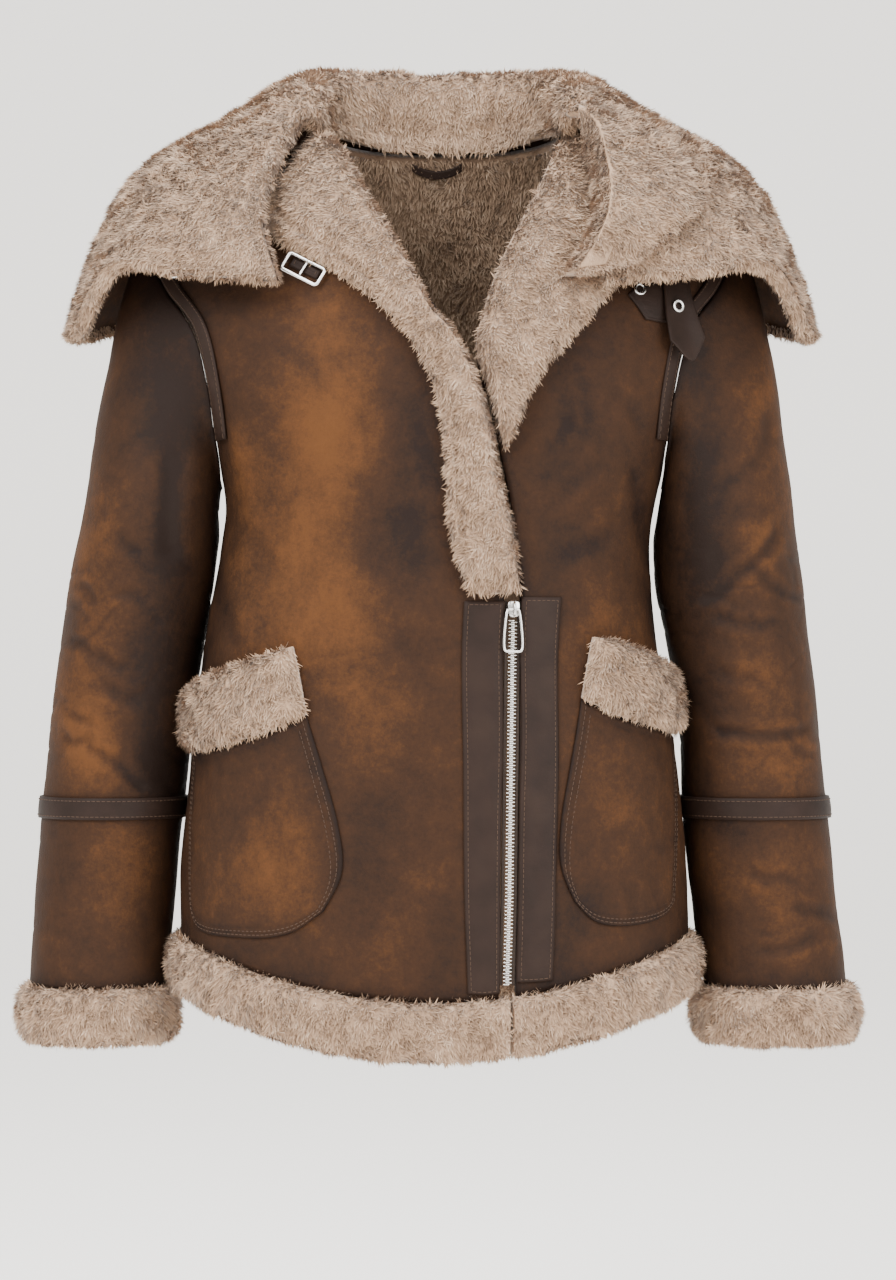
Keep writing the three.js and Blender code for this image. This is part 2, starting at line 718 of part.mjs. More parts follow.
// The left lapel's corner, which lies over the front end of the collar's left half. Its outline is given
// in shares of the collar, round the neck and down the fall, and a ridge joins it to the lapel in front
// of the collar's end.
const CORNER_THICK = 11;
const CORNER_OFF = COLLAR_THICK / 2 + 1.9;
const BRIDGE_START = 1.012;
const BRIDGE_END = 1.06;
const BRIDGE_IN = 17;
function cornerPoint(s, t, out) {
  if (s <= 1) return collarPoint(1, s, t, out);
  const end = collarPoint(1, 1, t, out);
  const before = collarPoint(1, 0.98, t, out);
  return end.addScaledVector(end.clone().sub(before), (s - 1) / 0.02);
}
function alongShares(points) {
  const scale = new THREE.Vector2(380, 190);
  const curve = new THREE.CatmullRomCurve3(
    points.map(([s, t]) => new THREE.Vector3(s * scale.x, t * scale.y, 0)),
    false,
    "centripetal",
  );
  return (t) => {
    const p = curve.getPointAt(clamp(t, 0, 1));
    return new THREE.Vector2(p.x / scale.x, p.y / scale.y);
  };
}
const corner = patch(
  alongShares([[0.97, 0.985], [BRIDGE_END, 0.985]]),
  alongShares([[0.735, 0.69], [0.72, 0.52], [0.86, 0.36], [BRIDGE_END, 0.25]]),
  alongShares([[0.97, 0.985], [0.9, 0.87], [0.79, 0.76], [0.735, 0.69]]),
  alongShares([[BRIDGE_END, 0.985], [BRIDGE_END, 0.6], [BRIDGE_END, 0.25]]),
);
const cornerSwell = padded(CORNER_THICK, 0.3, 0.3, 0.4);
const cornerFace = (off) => (a, b) => {
  const p = corner(a, b);
  return cornerPoint(p.x, p.y, CORNER_OFF + (off ? cornerSwell(a, b) : 0));
};
const bridgeFace = (out) => (a, b) =>
  cornerPoint(lerp(BRIDGE_START, BRIDGE_END, a), lerp(0.42, 0.93, b), out);
const cornerFlap = joined(
  wall(5, 5, cornerFace(true), cornerFace(false)),
  wall(1, 3, bridgeFace(CORNER_OFF + 3), bridgeFace(-BRIDGE_IN)),
);
const lapelLeftPad = frontPad(lapelLeft, 6, 16, padded(LAPEL_THICK, 0.22, 0.08));
add("lapel_left", joined(lapelLeftPad, cornerFlap), MATERIALS.fur);

// Leather strips either side of the zip.
const placketRight = patch(
  through([[19, -603], [30, -604], [42, -603]]),
  through([[16.5, -321], [30, -321], [46, -321]]),
  through([[19, -603], [16, -464], [16.5, -321]]),
  through([[42, -603], [42.5, -536], [43.5, -464], [44.5, -392], [46, -321]]),
);
const placketLeft = patch(
  through([[54, -595], [67, -595], [80, -594]]),
  through([[58, -318], [72, -318], [87, -318]]),
  through([[54, -595], [55.5, -536], [56.5, -464], [57.5, -392], [58, -318]]),
  through([[80, -594], [84, -464], [87, -318]]),
);
const flat = (thick) => () => thick;
add("placket_right", frontPad(placketRight, 3, 14, flat(BAND_THICK)), MATERIALS.strip);
add("placket_left", frontPad(placketLeft, 3, 14, flat(BAND_THICK)), MATERIALS.strip);

// The zip: a tape on each side, the closed chain, the slider and its pull tab.
function zipBar(fromX, toX, low, high, outer, inner) {
  const area = (s, t) => {
    const z = lerp(low, high, t);
    const { row, angle } = locate(lookUp(ZIP_LINE, "z", z, "x") + lerp(fromX, toX, s), z);
    return new THREE.Vector2(angle, row);
  };
  return frontPad(area, 1, 18, flat(outer - inner), flat(inner));
}
const TEETH_HALF = 3.3;
const tapeInner = TEETH_HALF + 0.3;
const tapeOuter = ZIP_HALF_SLOT - 0.3;
add("zip_tape_right", zipBar(-tapeOuter, -tapeInner, ZIP_BOTTOM_Z, ZIP_TOP_Z - 3, -1, -3), MATERIALS.tape);
add("zip_tape_left", zipBar(tapeInner, tapeOuter, ZIP_BOTTOM_Z, ZIP_TOP_Z - 3, -1, -3), MATERIALS.tape);
add("zip_teeth", zipBar(-TEETH_HALF, TEETH_HALF, ZIP_BOTTOM_Z, ZIP_TOP_Z - 16, 1.2, -2.2), MATERIALS.metal);

// Pockets: a patch sewn on each front, under a turned-over band of fur.
const bagRight = patch(
  through([[-183, -545], [-177, -560], [-144, -565], [-110, -561], [-84, -544]]),
  through([[-182, -431], [-160, -427], [-130, -417], [-97, -403]]),
  through([[-183, -545], [-184, -490], [-182, -431]]),
  through([[-84, -544], [-71, -515], [-74, -482], [-85, -442], [-97, -403]]),
);
const bagLeft = patch(
  through([[96, -538], [112, -553], [140, -556], [163, -550], [170, -541]]),
  through([[101, -391], [125, -403], [150, -411], [169.5, -419]]),
  through([[96, -538], [86, -512], [86, -482], [92, -445], [101, -391]]),
  through([[170, -541], [172, -495], [169.5, -419]]),
);
const furRight = patch(
  through([[-182, -431], [-160, -427], [-130, -417], [-97, -403]]),
  through([[-181, -384], [-155, -370], [-128, -361], [-106, -354]]),
  through([[-182, -431], [-184, -408], [-181, -384]]),
  through([[-97, -403], [-101, -380], [-106, -354]]),
);
const furLeft = patch(
  through([[101, -391], [125, -403], [150, -411], [169.5, -419]]),
  through([[109, -347], [130, -351], [150, -360], [168, -372]]),
  through([[101, -391], [105, -369], [109, -347]]),
  through([[169.5, -419], [171, -396], [168, -372]]),
);
// A pocket's bag stops just below its band, so the two meet edge to edge.
const BAG_SHARE = 0.994;
const below = (area) => (s, t) => area(s, t * BAG_SHARE);
add("pocket_right", frontPad(below(bagRight), 9, 10, flat(POCKET_THICK)), MATERIALS.hide);
add("pocket_left", frontPad(below(bagLeft), 9, 10, flat(POCKET_THICK)), MATERIALS.hide);
add("pocket_fur_right", frontPad(furRight, 9, 6, padded(FUR_BAND_THICK, 0.12, 0.25)), MATERIALS.fur);
add("pocket_fur_left", frontPad(furLeft, 9, 6, padded(FUR_BAND_THICK, 0.12, 0.25)), MATERIALS.fur);

// The leather strip over each armhole seam, from low on the front, over the shoulder and down the back.
const STRIP_WIDTH = 8;
const STRIP_LIFT = 1.1;
function armholeStrip(side) {
  const at = (s, t, out) => {
    const onBack = t > 0.5;
    const down = Math.abs(t - 0.5) * 2;
    const row = lerp(TOP_ROW, ARMPIT_ROW + 0.5, down);
    const x = column(ARMHOLE, onBack ? "back" : "front", row - ARMPIT_ROW) - STRIP_WIDTH * s - 1.6;
    return torsoPoint(angleAt(row, side * x, onBack), row, out);
  };
  return wall(
    1,
    30,
    (s, t) => at(s, t, STRIP_LIFT + BAND_THICK),
    (s, t) => at(s, t, STRIP_LIFT),
  );
}
add("armhole_strip_right", armholeStrip(-1), MATERIALS.strip);
add("armhole_strip_left", armholeStrip(1), MATERIALS.strip);

// A flat place on the torso's front: its centre at [x, z] a distance out from the leather, with right and
// up along the leather and out away from it. turn swings right and up round, anticlockwise as seen.
function placeAt(x, z, out, turn = 0) {
  let centre = new THREE.Vector3();
  let outward = new THREE.Vector3();
  for (let k = 0; k < 4; k++) {
    const { row, angle } = locate(x - outward.x * out, z - outward.z * out);
    centre = torsoPoint(angle, row, 0);
    outward = torsoPoint(angle, row, 1).sub(centre).normalize();
  }
  const level = new THREE.Vector3(1, 0, 0).addScaledVector(outward, -outward.x).normalize();
  const upright = outward.clone().cross(level).negate();
  if (upright.z < 0) upright.negate();
  const right = level.clone().multiplyScalar(Math.cos(turn)).addScaledVector(upright, Math.sin(turn));
  const up = upright.clone().multiplyScalar(Math.cos(turn)).addScaledVector(level, -Math.sin(turn));
  centre.addScaledVector(outward, out);
  const point = (across, along, off) =>
    centre.clone().addScaledVector(right, across).addScaledVector(up, along).addScaledVector(outward, off);
  return { point, right, up, outward, centre };
}

// A wire bent round a closed outline of [across, along] corners on a flat place.
function wireRing(place, corners, radius, around, along, flatness = 1) {
  const path = new THREE.CatmullRomCurve3(
    corners.map(([x, z]) => new THREE.Vector3(x, z, 0)),
    true,
    "catmullrom",
    0.2,
  );
  return roll(
    around,
    along,
    (s, t) => {
      const p = path.getPoint(t);
      const ahead = path.getTangent(t);
      const a = s * 2 * Math.PI;
      const side = radius * Math.cos(a);
      return place.point(p.x + ahead.y * side, p.y - ahead.x * side, radius * flatness * Math.sin(a));
    },
    true,
  );
}

// A rectangle's corners, each given twice close together so that a curve through them turns sharply.
function rectangle(halfWide, halfTall, round = 1.2) {
  return [
    [halfWide, halfTall - round],
    [halfWide - round, halfTall],
    [0, halfTall],
    [round - halfWide, halfTall],
    [-halfWide, halfTall - round],
    [-halfWide, 0],
    [-halfWide, round - halfTall],
    [round - halfWide, -halfTall],
    [0, -halfTall],
    [halfWide - round, -halfTall],
    [halfWide, round - halfTall],
    [halfWide, 0],
  ];
}

// A straight round bar on a flat place, from one [across, along] point to another.
function bar(place, from, to, radius, off = 0, around = 8) {
  const ahead = new THREE.Vector2(to[0] - from[0], to[1] - from[1]).normalize();
  return roll(around, 1, (s, t) => {
    const a = s * 2 * Math.PI;
    const side = radius * Math.cos(a);
    const x = lerp(from[0], to[0], t) + ahead.y * side;
    const z = lerp(from[1], to[1], t) - ahead.x * side;
    return place.point(x, z, off + radius * Math.sin(a));
  });
}

// Collar straps. Two come out from under the wearer's right side with a buckle on each, and two with an
// eyelet from under the left. They lie on the fronts.
const STRAP_THICK = 2.2;
const BUCKLES = [
  { name: "outer", x: -186, z: -72, turn: -0.09, half_tall: 7.5, strap_end: 28, rest: 0.75 },
  { name: "inner", x: -100.5, z: -78.5, turn: -0.545, half_tall: 7, strap_end: 5.2, rest: 0.4 },
];
const BUCKLE_HALF_WIDE = 15.5;
const WIRE = 1.5;
for (const buckle of BUCKLES) {
  const lift = buckle.rest + STRAP_THICK + WIRE + 0.3;
  const place = placeAt(buckle.x, buckle.z, lift, buckle.turn);
  add(
    "buckle_" + buckle.name,
    wireRing(place, rectangle(BUCKLE_HALF_WIDE, buckle.half_tall), WIRE, 6, 24),
    MATERIALS.metal,
  );
  const tip = [0, -buckle.half_tall + WIRE + 0.3];
  const root = [0, buckle.half_tall - WIRE - 0.3];
  add("buckle_prong_" + buckle.name, bar(place, root, tip, 1), MATERIALS.metal);
  const strapHalf = 12;
  const strap = (s, t, out) =>
    place.point(lerp(-strapHalf, strapHalf, s), lerp(-2, buckle.strap_end, t), out - lift);
  add(
    "buckle_strap_" + buckle.name,
    wall(
      2,
      2,
      (s, t) => strap(s, t, buckle.rest + STRAP_THICK),
      (s, t) => strap(s, t, buckle.rest),
    ),
    MATERIALS.strip,
  );
}
const strapLower = patch(
  through([[136, -97], [143, -106], [149, -115]]),
  through([[152, -78], [162, -90], [171, -102]]),
  through([[136, -97], [145, -88], [152, -78]]),
  through([[149, -115], [166, -115.5], [171, -102]]),
);
const strapUpper = patch(
  through([[161, -86], [161, -108], [160, -131]]),
  through([[178, -76], [181, -102], [184, -124]]),
  through([[161, -86], [170, -82], [178, -76]]),
  through([[160, -131], [174, -142], [184, -124]]),
);
const UPPER_LIFT = REST + STRAP_THICK + 0.9;
const tipLift = (s, t) => UPPER_LIFT + 9 * s ** 2;
add("eyelet_strap_lower", frontPad(strapLower, 4, 4, flat(STRAP_THICK)), MATERIALS.strip);
add("eyelet_strap_upper", frontPad(strapUpper, 6, 4, flat(STRAP_THICK), tipLift), MATERIALS.strip);
const circle = (radius) =>
  Array.from({ length: 12 }, (_, k) => {
    const a = (k * Math.PI) / 6;
    return [radius * Math.cos(a), radius * Math.sin(a)];
  });
const lowerEyelet = placeAt(145.5, -92, REST + STRAP_THICK + 1.2);
const upperEyelet = placeAt(174, -104, UPPER_LIFT + STRAP_THICK + 3.05);
add("eyelet_lower", wireRing(lowerEyelet, circle(3.8), 1.2, 6, 12, 0.6), MATERIALS.metal);
add("eyelet_upper", wireRing(upperEyelet, circle(3.8), 1.2, 6, 12, 0.6), MATERIALS.metal);

// The zip's slider, with the bail on its front, and the pull tab whose top bar goes through the bail.
const PULL_PLACE = placeAt(52, -327, 0);
const slab = (place, halfWide, low, high, inner, outer) =>
  wall(
    1,
    1,
    (s, t) => place.point(lerp(-halfWide, halfWide, s), lerp(low, high, t), outer),
    (s, t) => place.point(lerp(-halfWide, halfWide, s), lerp(low, high, t), inner),
  );
function bailBar() {
  const path = [
    { along: -4.4, out: 2.4 },
    { along: -4.2, out: 5.6 },
    { along: -2.4, out: 7 },
    { along: 2.4, out: 7 },
    { along: 4.2, out: 5.6 },
    { along: 4.4, out: 2.4 },
  ];
  return roll(6, 15, (s, t) => {
    const row = t * (path.length - 1);
    const spot = (r) => new THREE.Vector2(column(path, "along", r), column(path, "out", r));
    const here = spot(row);
    const ahead = spot(Math.min(row + 0.05, path.length - 1)).sub(spot(Math.max(row - 0.05, 0))).normalize();
    const a = s * 2 * Math.PI;
    const across = 1.3 * Math.cos(a);
    const side = 0.8 * Math.sin(a);
    return PULL_PLACE.point(across, here.x + ahead.y * side, here.y - ahead.x * side);
  });
}
const sliderBody = slab(PULL_PLACE, 4.6, -6, 6.5, -0.5, 3.4);
add("zip_slider", joined(sliderBody, bailBar()), MATERIALS.metal);
const PULL_OUT = 4.95;
const pullPlace = placeAt(52, -327, PULL_OUT);
const pullOutline = [
  [3.6, 0],
  [0, 0.1],
  [-3.6, 0],
  [-4.4, -1.2],
  [-6.6, -28],
  [-5.4, -30],
  [0, -30.4],
  [5.4, -30],
  [6.6, -28],
  [4.4, -1.2],
];
add("zip_pull", wireRing(pullPlace, pullOutline, 1, 6, 24, 0.8), MATERIALS.metal);

// The hanger loop inside the back of the neck.
function hangerLoop() {
  const at = (s, t, off) => {
    const x = lerp(-23, 16, t);
    const sag = 1 - ((x + 3.5) / 19.5) ** 2;
    const { row, angle } = locate(x, 18 - 6 * sag + lerp(-3, 3, s), true);
    return torsoPoint(angle, row, -SKIN - REST - off - 1.2 * sag);
  };
  return wall(
    1,
    10,
    (s, t) => at(s, t, BAND_THICK),
    (s, t) => at(s, t, 0),
  );
}
add("hanger_loop", hangerLoop(), MATERIALS.strip);

export default coat;
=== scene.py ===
"""Shearling coat, laid out as a Blender add-on: hide panels, fur edges, leather strips, zip and buckles.

Sizes are in millimetres in the tables and in metres in the meshes. +Z is up, the front faces -Y and +X is
the wearer's left. The torso, the sleeves and the collar are the same surfaces as the part's solids.
"""
import math

import bpy
import numpy as np
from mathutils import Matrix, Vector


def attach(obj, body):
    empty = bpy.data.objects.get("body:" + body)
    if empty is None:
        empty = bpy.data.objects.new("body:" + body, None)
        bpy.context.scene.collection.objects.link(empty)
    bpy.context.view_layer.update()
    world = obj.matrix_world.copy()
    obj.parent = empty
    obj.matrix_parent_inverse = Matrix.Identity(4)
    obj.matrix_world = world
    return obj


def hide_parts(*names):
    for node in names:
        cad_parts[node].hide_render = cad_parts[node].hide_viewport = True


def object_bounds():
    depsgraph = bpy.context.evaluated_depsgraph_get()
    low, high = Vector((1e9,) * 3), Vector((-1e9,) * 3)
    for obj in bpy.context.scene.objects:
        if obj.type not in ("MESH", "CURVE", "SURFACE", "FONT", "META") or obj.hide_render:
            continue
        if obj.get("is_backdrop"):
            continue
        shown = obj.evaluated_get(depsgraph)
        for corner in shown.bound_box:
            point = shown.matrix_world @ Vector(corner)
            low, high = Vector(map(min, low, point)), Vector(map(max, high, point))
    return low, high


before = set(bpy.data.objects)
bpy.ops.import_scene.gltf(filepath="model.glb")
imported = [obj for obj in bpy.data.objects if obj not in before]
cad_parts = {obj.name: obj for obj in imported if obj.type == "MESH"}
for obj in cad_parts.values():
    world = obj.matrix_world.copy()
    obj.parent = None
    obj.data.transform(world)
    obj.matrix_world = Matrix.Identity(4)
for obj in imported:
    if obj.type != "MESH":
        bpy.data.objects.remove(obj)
CAD_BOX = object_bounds()

bl_info = {
    "name": "Shearling coat",
    "version": (1, 0, 0),
    "blender": (4, 5, 0),
    "location": "View3D > Sidebar > Coat",
    "description": "Builds a short shearling coat with fur edges, patch pockets and an off-centre zip",
    "category": "Add Mesh",
}

MM = 0.001
SKIN = 8.0
COLLAR_THICK = 18.0
LAPEL_THICK = 15.0
FUR_BAND_THICK = 13.0
POCKET_THICK = 2.4
BAND_THICK = 2.0
STRAP_THICK = 2.2
REST = 0.6
SEAM = 0.2
ZIP_HALF_SLOT = 6.0
ROLL_OUT = 9.5
ROLL_IN = 18.0
HEM_ROLL_HEIGHT = 42.0
CUFF_ROLL_HEIGHT = 41.0
SLEEVE_SPLIT_Z = -474.0
SLEEVE_END_Z = -607.0
SLEEVE_COLUMNS = 92
STRIP_WIDTH = 8
STRIP_IN = 1.6
STRIP_LIFT = 1.1
CORNER_THICK = 11.0
CORNER_OFF = COLLAR_THICK / 2 + 1.9
BRIDGE_START = 1.012
BRIDGE_END = 1.06
BRIDGE_IN = 17.0


def table(names, rows):
    """A table of numbers with named columns, as one array for each name."""
    return dict(zip(names.split(), np.array(rows, dtype=float).T))


# The torso's rings, from the hem up: height in the middle, how much lower the sides are, half-width, depth
# each way from mid_y, and the squareness of the ring, where 2 is an ellipse.
TORSO = table(
    "z drop half front back mid_x mid_y square",
    [
        (-609, -42, 190, 132, 121, -5, 0, 2.3),
        (-540, -20, 189, 131, 119, -6, 0, 2.3),
        (-450, -6, 182, 127, 115, -6, 0, 2.3),
        (-349, 0, 169, 121, 108, -8, 0, 2.3),
        (-275, 0, 160, 116, 103, -4, 0, 2.35),
        (-230, 4, 163, 115, 101, 0, 1, 2.5),
        (-155, 16, 180, 110, 99, 0, 2, 2.9),
        (-88, 42, 200, 97, 92, 0, 5, 2.9),
        (-28, 72, 216, 76, 76, 0, 8, 2.8),
        (18, 90, 223, 50, 54, 0, 11, 2.6),
        (39, 98, 226, 25, 28, 0, 12, 2.4),
        (46, 101, 226, 0, 0, 0, 12, 2.4),
    ],
)
ARMPIT_ROW = 5
TOP_ROW = 11
ARMHOLE = table(
    "front back",
    [(163, 163), (170, 175), (181, 186), (203, 204), (216, 216), (220, 220), (221, 221)],
)
NECK_HALF = 88.0
BACK_NECK_ROW = 9.15
ZIP_LINE = table("z x", [(-640, 50), (-593, 47.5), (-536, 49), (-464, 50), (-392, 51), (-318, 52)])
ZIP_TOP_Z = -318.0
ZIP_BOTTOM_Z = -597.0
ROLL_LINE_RIGHT = table(
    "z x", [(-318, 52), (-263, 49), (-198, 35), (-143, 18), (-65, -30), (-17, -57), (31, -86)]
)
ROLL_LINE_LEFT = table(
    "z x",
    [(-318, 52), (-263, 52), (-198, 39), (-143, 25), (-110, 31), (-71, 45), (-40, 60), (0, 77), (31, 90)],
)
SLEEVES = {
    -1: table(
        "z x y half depth",
        [
            (-276, -220, 9, 53.5, 71),
            (-320, -227.5, 11, 54, 67),
            (-394, -238.5, 13, 53.5, 63),
            (-469, -246.5, 14, 53.5, 60),
            (-544, -253, 12, 52.5, 57),
            (-607, -258, 9, 51.5, 55),
        ],
    ),
    1: table(
        "z x y half depth",
        [
            (-276, 213.5, 9, 54, 71),
            (-320, 218, 11, 55, 67),
            (-394, 229.5, 13, 52.5, 63),
            (-469, 235.5, 14, 54.5, 60),
            (-544, 242.5, 12, 54.5, 57),
            (-607, 251, 9, 53.5, 55),
        ],
    ),
}
# The collar's right half, from the centre back round to its front end: the middle of the wall at the neck
# seam, the ridge, the fall, the drape and the outer edge, as x, y, z each.
COLLAR = np.array(
    [
        [(0, 57.5, 23.5), (0, 68, 74), (0, 101, 45), (0, 116, -12), (0, 122, -80)],
        [(-40, 53, 25), (-45, 62, 75), (-66, 97, 46), (-84, 114, -12), (-96, 120, -84)],
        [(-69, 35, 31), (-84, 41, 74), (-124, 72, 42), (-166, 88, -14), (-196, 98, -98)],
        [(-84, 14, 33), (-99, 15, 68), (-152, 22, 40), (-225, 30, -12), (-272, 34, -119)],
        [(-86, 4, 34), (-99, -3, 63), (-150, -8, 33), (-222, -20, -16), (-270, -12, -117)],
        [(-87, -6, 32.5), (-98, -16, 57), (-144, -34, 23), (-200, -58, -30), (-238, -68, -76)],
        [(-88, -14, 30), (-98, -26, 48), (-134, -54, 13), (-168, -80, -36), (-182, -98, -82)],
        [(-92, -24, 27.5), (-101, -38, 36), (-119, -66, 5), (-131, -93, -40), (-119, -108, -88)],
    ],
    dtype=float,
)


# Numbers and curves.


def lerp(a, b, t):
    return a + (b - a) * t


def smooth(t):
    t = np.clip(t, 0, 1)
    return t * t * (3 - 2 * t)


def cubic(start, leave, end, arrive, t):
    """The cubic from start to end that leaves and arrives with the given slopes."""
    t2, t3 = t * t, t * t * t
    slopes = (t3 - 2 * t2 + t) * leave + (t3 - t2) * arrive
    return (2 * t3 - 3 * t2 + 1) * start + (3 * t2 - 2 * t3) * end + slopes


def column(values, row):
    """A column at fractional rows: a cubic through the four rows around, carried on straight at its ends."""
    v = np.concatenate([[2 * values[0] - values[1]], values, [2 * values[-1] - values[-2]]])
    last = len(values) - 1
    r = np.clip(row, 0, last)
    i = np.minimum(np.floor(r).astype(int), last - 1)
    t = r - i
    if values.ndim > 1:
        t = t[(...,) + (None,) * (values.ndim - 1)]
    a, b, c, d = v[i], v[i + 1], v[i + 2], v[i + 3]
    return cubic(b, (c - a) / 2, c, (d - b) / 2, t)


def row_where(values, wanted):
    """The fractional row at which a steadily changing column has the wanted value, by halving."""
    wanted = np.asarray(wanted, dtype=float)
    low, high = np.zeros_like(wanted), np.full_like(wanted, len(values) - 1)
    rising = values[-1] > values[0]
    for _ in range(32):
        middle = (low + high) / 2
        is_below = (column(values, middle) < wanted) == rising
        low, high = np.where(is_below, middle, low), np.where(is_below, high, middle)
    return low


def unit(v):
    return v / np.maximum(np.linalg.norm(v, axis=-1, keepdims=True), 1e-12)


# The torso's surface.


def torso_point(angle, row, out):
    """A point of the torso: x is the half-width times a power of the angle's sine, y the depth times one of
    its cosine, and z the ring's height less its drop times the square of how far to the side the point lies.
    It then moves out along the surface's normal."""
    angle, row, out = np.broadcast_arrays(*(np.asarray(v, dtype=float) for v in (angle, row, out)))
    ring = {name: column(v, row) for name, v in TORSO.items()}
    above, below = np.minimum(row + 0.02, TOP_ROW), np.maximum(row - 0.02, 0)
    change = {
        name: (column(v, above) - column(v, below)) / (above - below) for name, v in TORSO.items()
    }
    sine, cosine = np.sin(angle), np.cos(angle)
    power = 2 / ring["square"]
    across = np.sign(sine) * np.abs(sine) ** power
    along = -np.sign(cosine) * np.abs(cosine) ** power
    is_front = cosine >= 0
    depth = np.where(is_front, ring["front"], ring["back"])
    deepen = np.where(is_front, change["front"], change["back"])
    out_x = np.sign(across) * np.abs(across) ** (ring["square"] - 1) / ring["half"]
    out_y = np.sign(along) * np.abs(along) ** (ring["square"] - 1) / np.maximum(depth, 1)
    slope = -2 * ring["drop"] * across / ring["half"]
    round_it = unit(np.stack([-out_y, out_x, -out_y * slope], axis=-1))
    rise = np.stack(
        [change["half"] * across, deepen * along, change["z"] - change["drop"] * across**2], axis=-1
    )
    normal = np.cross(round_it, rise)
    facing = normal[..., 0] * out_x + normal[..., 1] * out_y + normal[..., 2] * 0.002
    normal = normal * np.where(facing < 0, -1, 1)[..., None]
    normal[..., 1] *= np.clip((TOP_ROW - row) / 0.9, 0, 1)
    point = np.stack(
        [
            ring["mid_x"] + ring["half"] * across,
            ring["mid_y"] + depth * along,
            ring["z"] - ring["drop"] * across**2,
        ],
        axis=-1,
    )
    return point + unit(normal) * out[..., None]


def angle_at(row, x, on_back=False):
    """The angle at which a ring lies x from its middle."""
    share = np.clip(x / column(TORSO["half"], row), -1, 1)
    angle = np.arcsin(np.sign(share) * np.abs(share) ** (column(TORSO["square"], row) / 2))
    return math.pi - angle if on_back else angle


def locate(x, z, on_back=False):
    """The angle and row of the point of the front, or the back, that is seen at x and z, by halving."""
    x, z = np.broadcast_arrays(np.asarray(x, dtype=float), np.asarray(z, dtype=float))
    low, high = np.zeros(x.shape), np.full(x.shape, float(TOP_ROW))

    def share(row):
        return np.clip((x - column(TORSO["mid_x"], row)) / column(TORSO["half"], row), -1, 1)

    for _ in range(36):
        middle = (low + high) / 2
        height = column(TORSO["z"], middle) - column(TORSO["drop"], middle) * share(middle) ** 2
        low, high = np.where(height < z, middle, low), np.where(height < z, high, middle)
    return angle_at(low, x - column(TORSO["mid_x"], low), on_back), low


def armhole_angle(row, side, on_back):
    """The angle of the side seam below the armpit, and of the armhole's edge above it."""
    row = np.asarray(row, dtype=float)
    seam = (math.pi if on_back else 0) + (-side if on_back else side) * math.pi / 2
    x = side * column(ARMHOLE["back" if on_back else "front"], np.maximum(row - ARMPIT_ROW, 0))
    return np.where(row <= ARMPIT_ROW, seam, angle_at(row, x, on_back))


def patch(bottom, top, left, right):
    """A surface between four curves: the two ways of going straight across, less their shared corners."""
    zero, one = np.zeros(1), np.ones(1)
    corner = [curve(end) for curve in (bottom, top) for end in (zero, one)]

    def area(s, t):
        s, t = np.broadcast_arrays(np.asarray(s, dtype=float), np.asarray(t, dtype=float))
        sides = bottom(s), top(s), left(t), right(t)
        s, t = s[..., None], t[..., None]
        mixed = sides[0] * (1 - t) + sides[1] * t + sides[2] * (1 - s) + sides[3] * s
        mixed -= corner[0] * (1 - s) * (1 - t) + corner[1] * s * (1 - t)
        return mixed - corner[2] * (1 - s) * t - corner[3] * s * t

    return area


ANGLE_LENGTH = 150.0
ROW_LENGTH = 62.0


def smooth_line(points, closed=False, steps=24):
    """Many points on a centripetal curve through a few, and how far along it each one lies."""
    p = np.array(points, dtype=float)
    ends = (p[-1:], p[:2]) if closed else (2 * p[:1] - p[1:2], 2 * p[-1:] - p[-2:-1])
    q = np.concatenate([ends[0], p, ends[1]])
    gap = np.maximum(np.linalg.norm(np.diff(q, axis=0), axis=1) ** 0.5, 1e-6)
    t = np.linspace(0, 1, steps, endpoint=False)[:, None]
    pieces = []
    for k in range(1, len(q) - 2):
        before, here, after = gap[k - 1], gap[k], gap[k + 1]
        a, b, c, d = q[k - 1 : k + 3]
        out_of = ((b - a) / before - (c - a) / (before + here) + (c - b) / here) * here
        into = ((c - b) / here - (d - b) / (here + after) + (d - c) / after) * here
        pieces.append(cubic(b, out_of, c, into, t))
    line = np.concatenate([*pieces, p[:1] if closed else p[-1:]])
    return line, np.concatenate([[0], np.cumsum(np.linalg.norm(np.diff(line, axis=0), axis=1))])


def along(line, length, t):
    """Points at shares of a line's length."""
    return np.stack([np.interp(t * length[-1], length, line[:, k]) for k in range(line.shape[1])], axis=-1)


def through(points):
    """A curve on the torso's front through points given as x, z, followed by its own length. It gives angle
    and row."""
    xz = np.array(points, dtype=float)
    angle, row = locate(xz[:, 0], xz[:, 1])
    scale = np.array([ANGLE_LENGTH, ROW_LENGTH])
    line, length = smooth_line(np.stack([angle, row], axis=-1) * scale)
    return lambda t: along(line / scale, length, np.clip(t, 0, 1))


# The panels of the body, as functions of two shares and a distance out.


def panel_row(t, lower=10, upper=12):
    step = t * (lower + upper)
    above = ARMPIT_ROW + (TOP_ROW - ARMPIT_ROW) * (step - lower) / upper
    return np.where(step <= lower, ARMPIT_ROW * step / lower, above)


def front_edge(side, roll_line, z):
    """The front's edge along the zip and, above it, along the roll line."""
    is_zip = z < ZIP_TOP_Z + 8
    zip_x = column(ZIP_LINE["x"], row_where(ZIP_LINE["z"], np.clip(z, -640, -318)))
    roll_x = column(roll_line["x"], row_where(roll_line["z"], np.clip(z, -318, 31)))
    slot = np.where(is_zip, 1, np.clip(1 - (z - ZIP_TOP_Z - 8) / 30, 0, 1))
    return np.where(is_zip, zip_x, roll_x) + side * ZIP_HALF_SLOT * slot + side * SEAM * 2


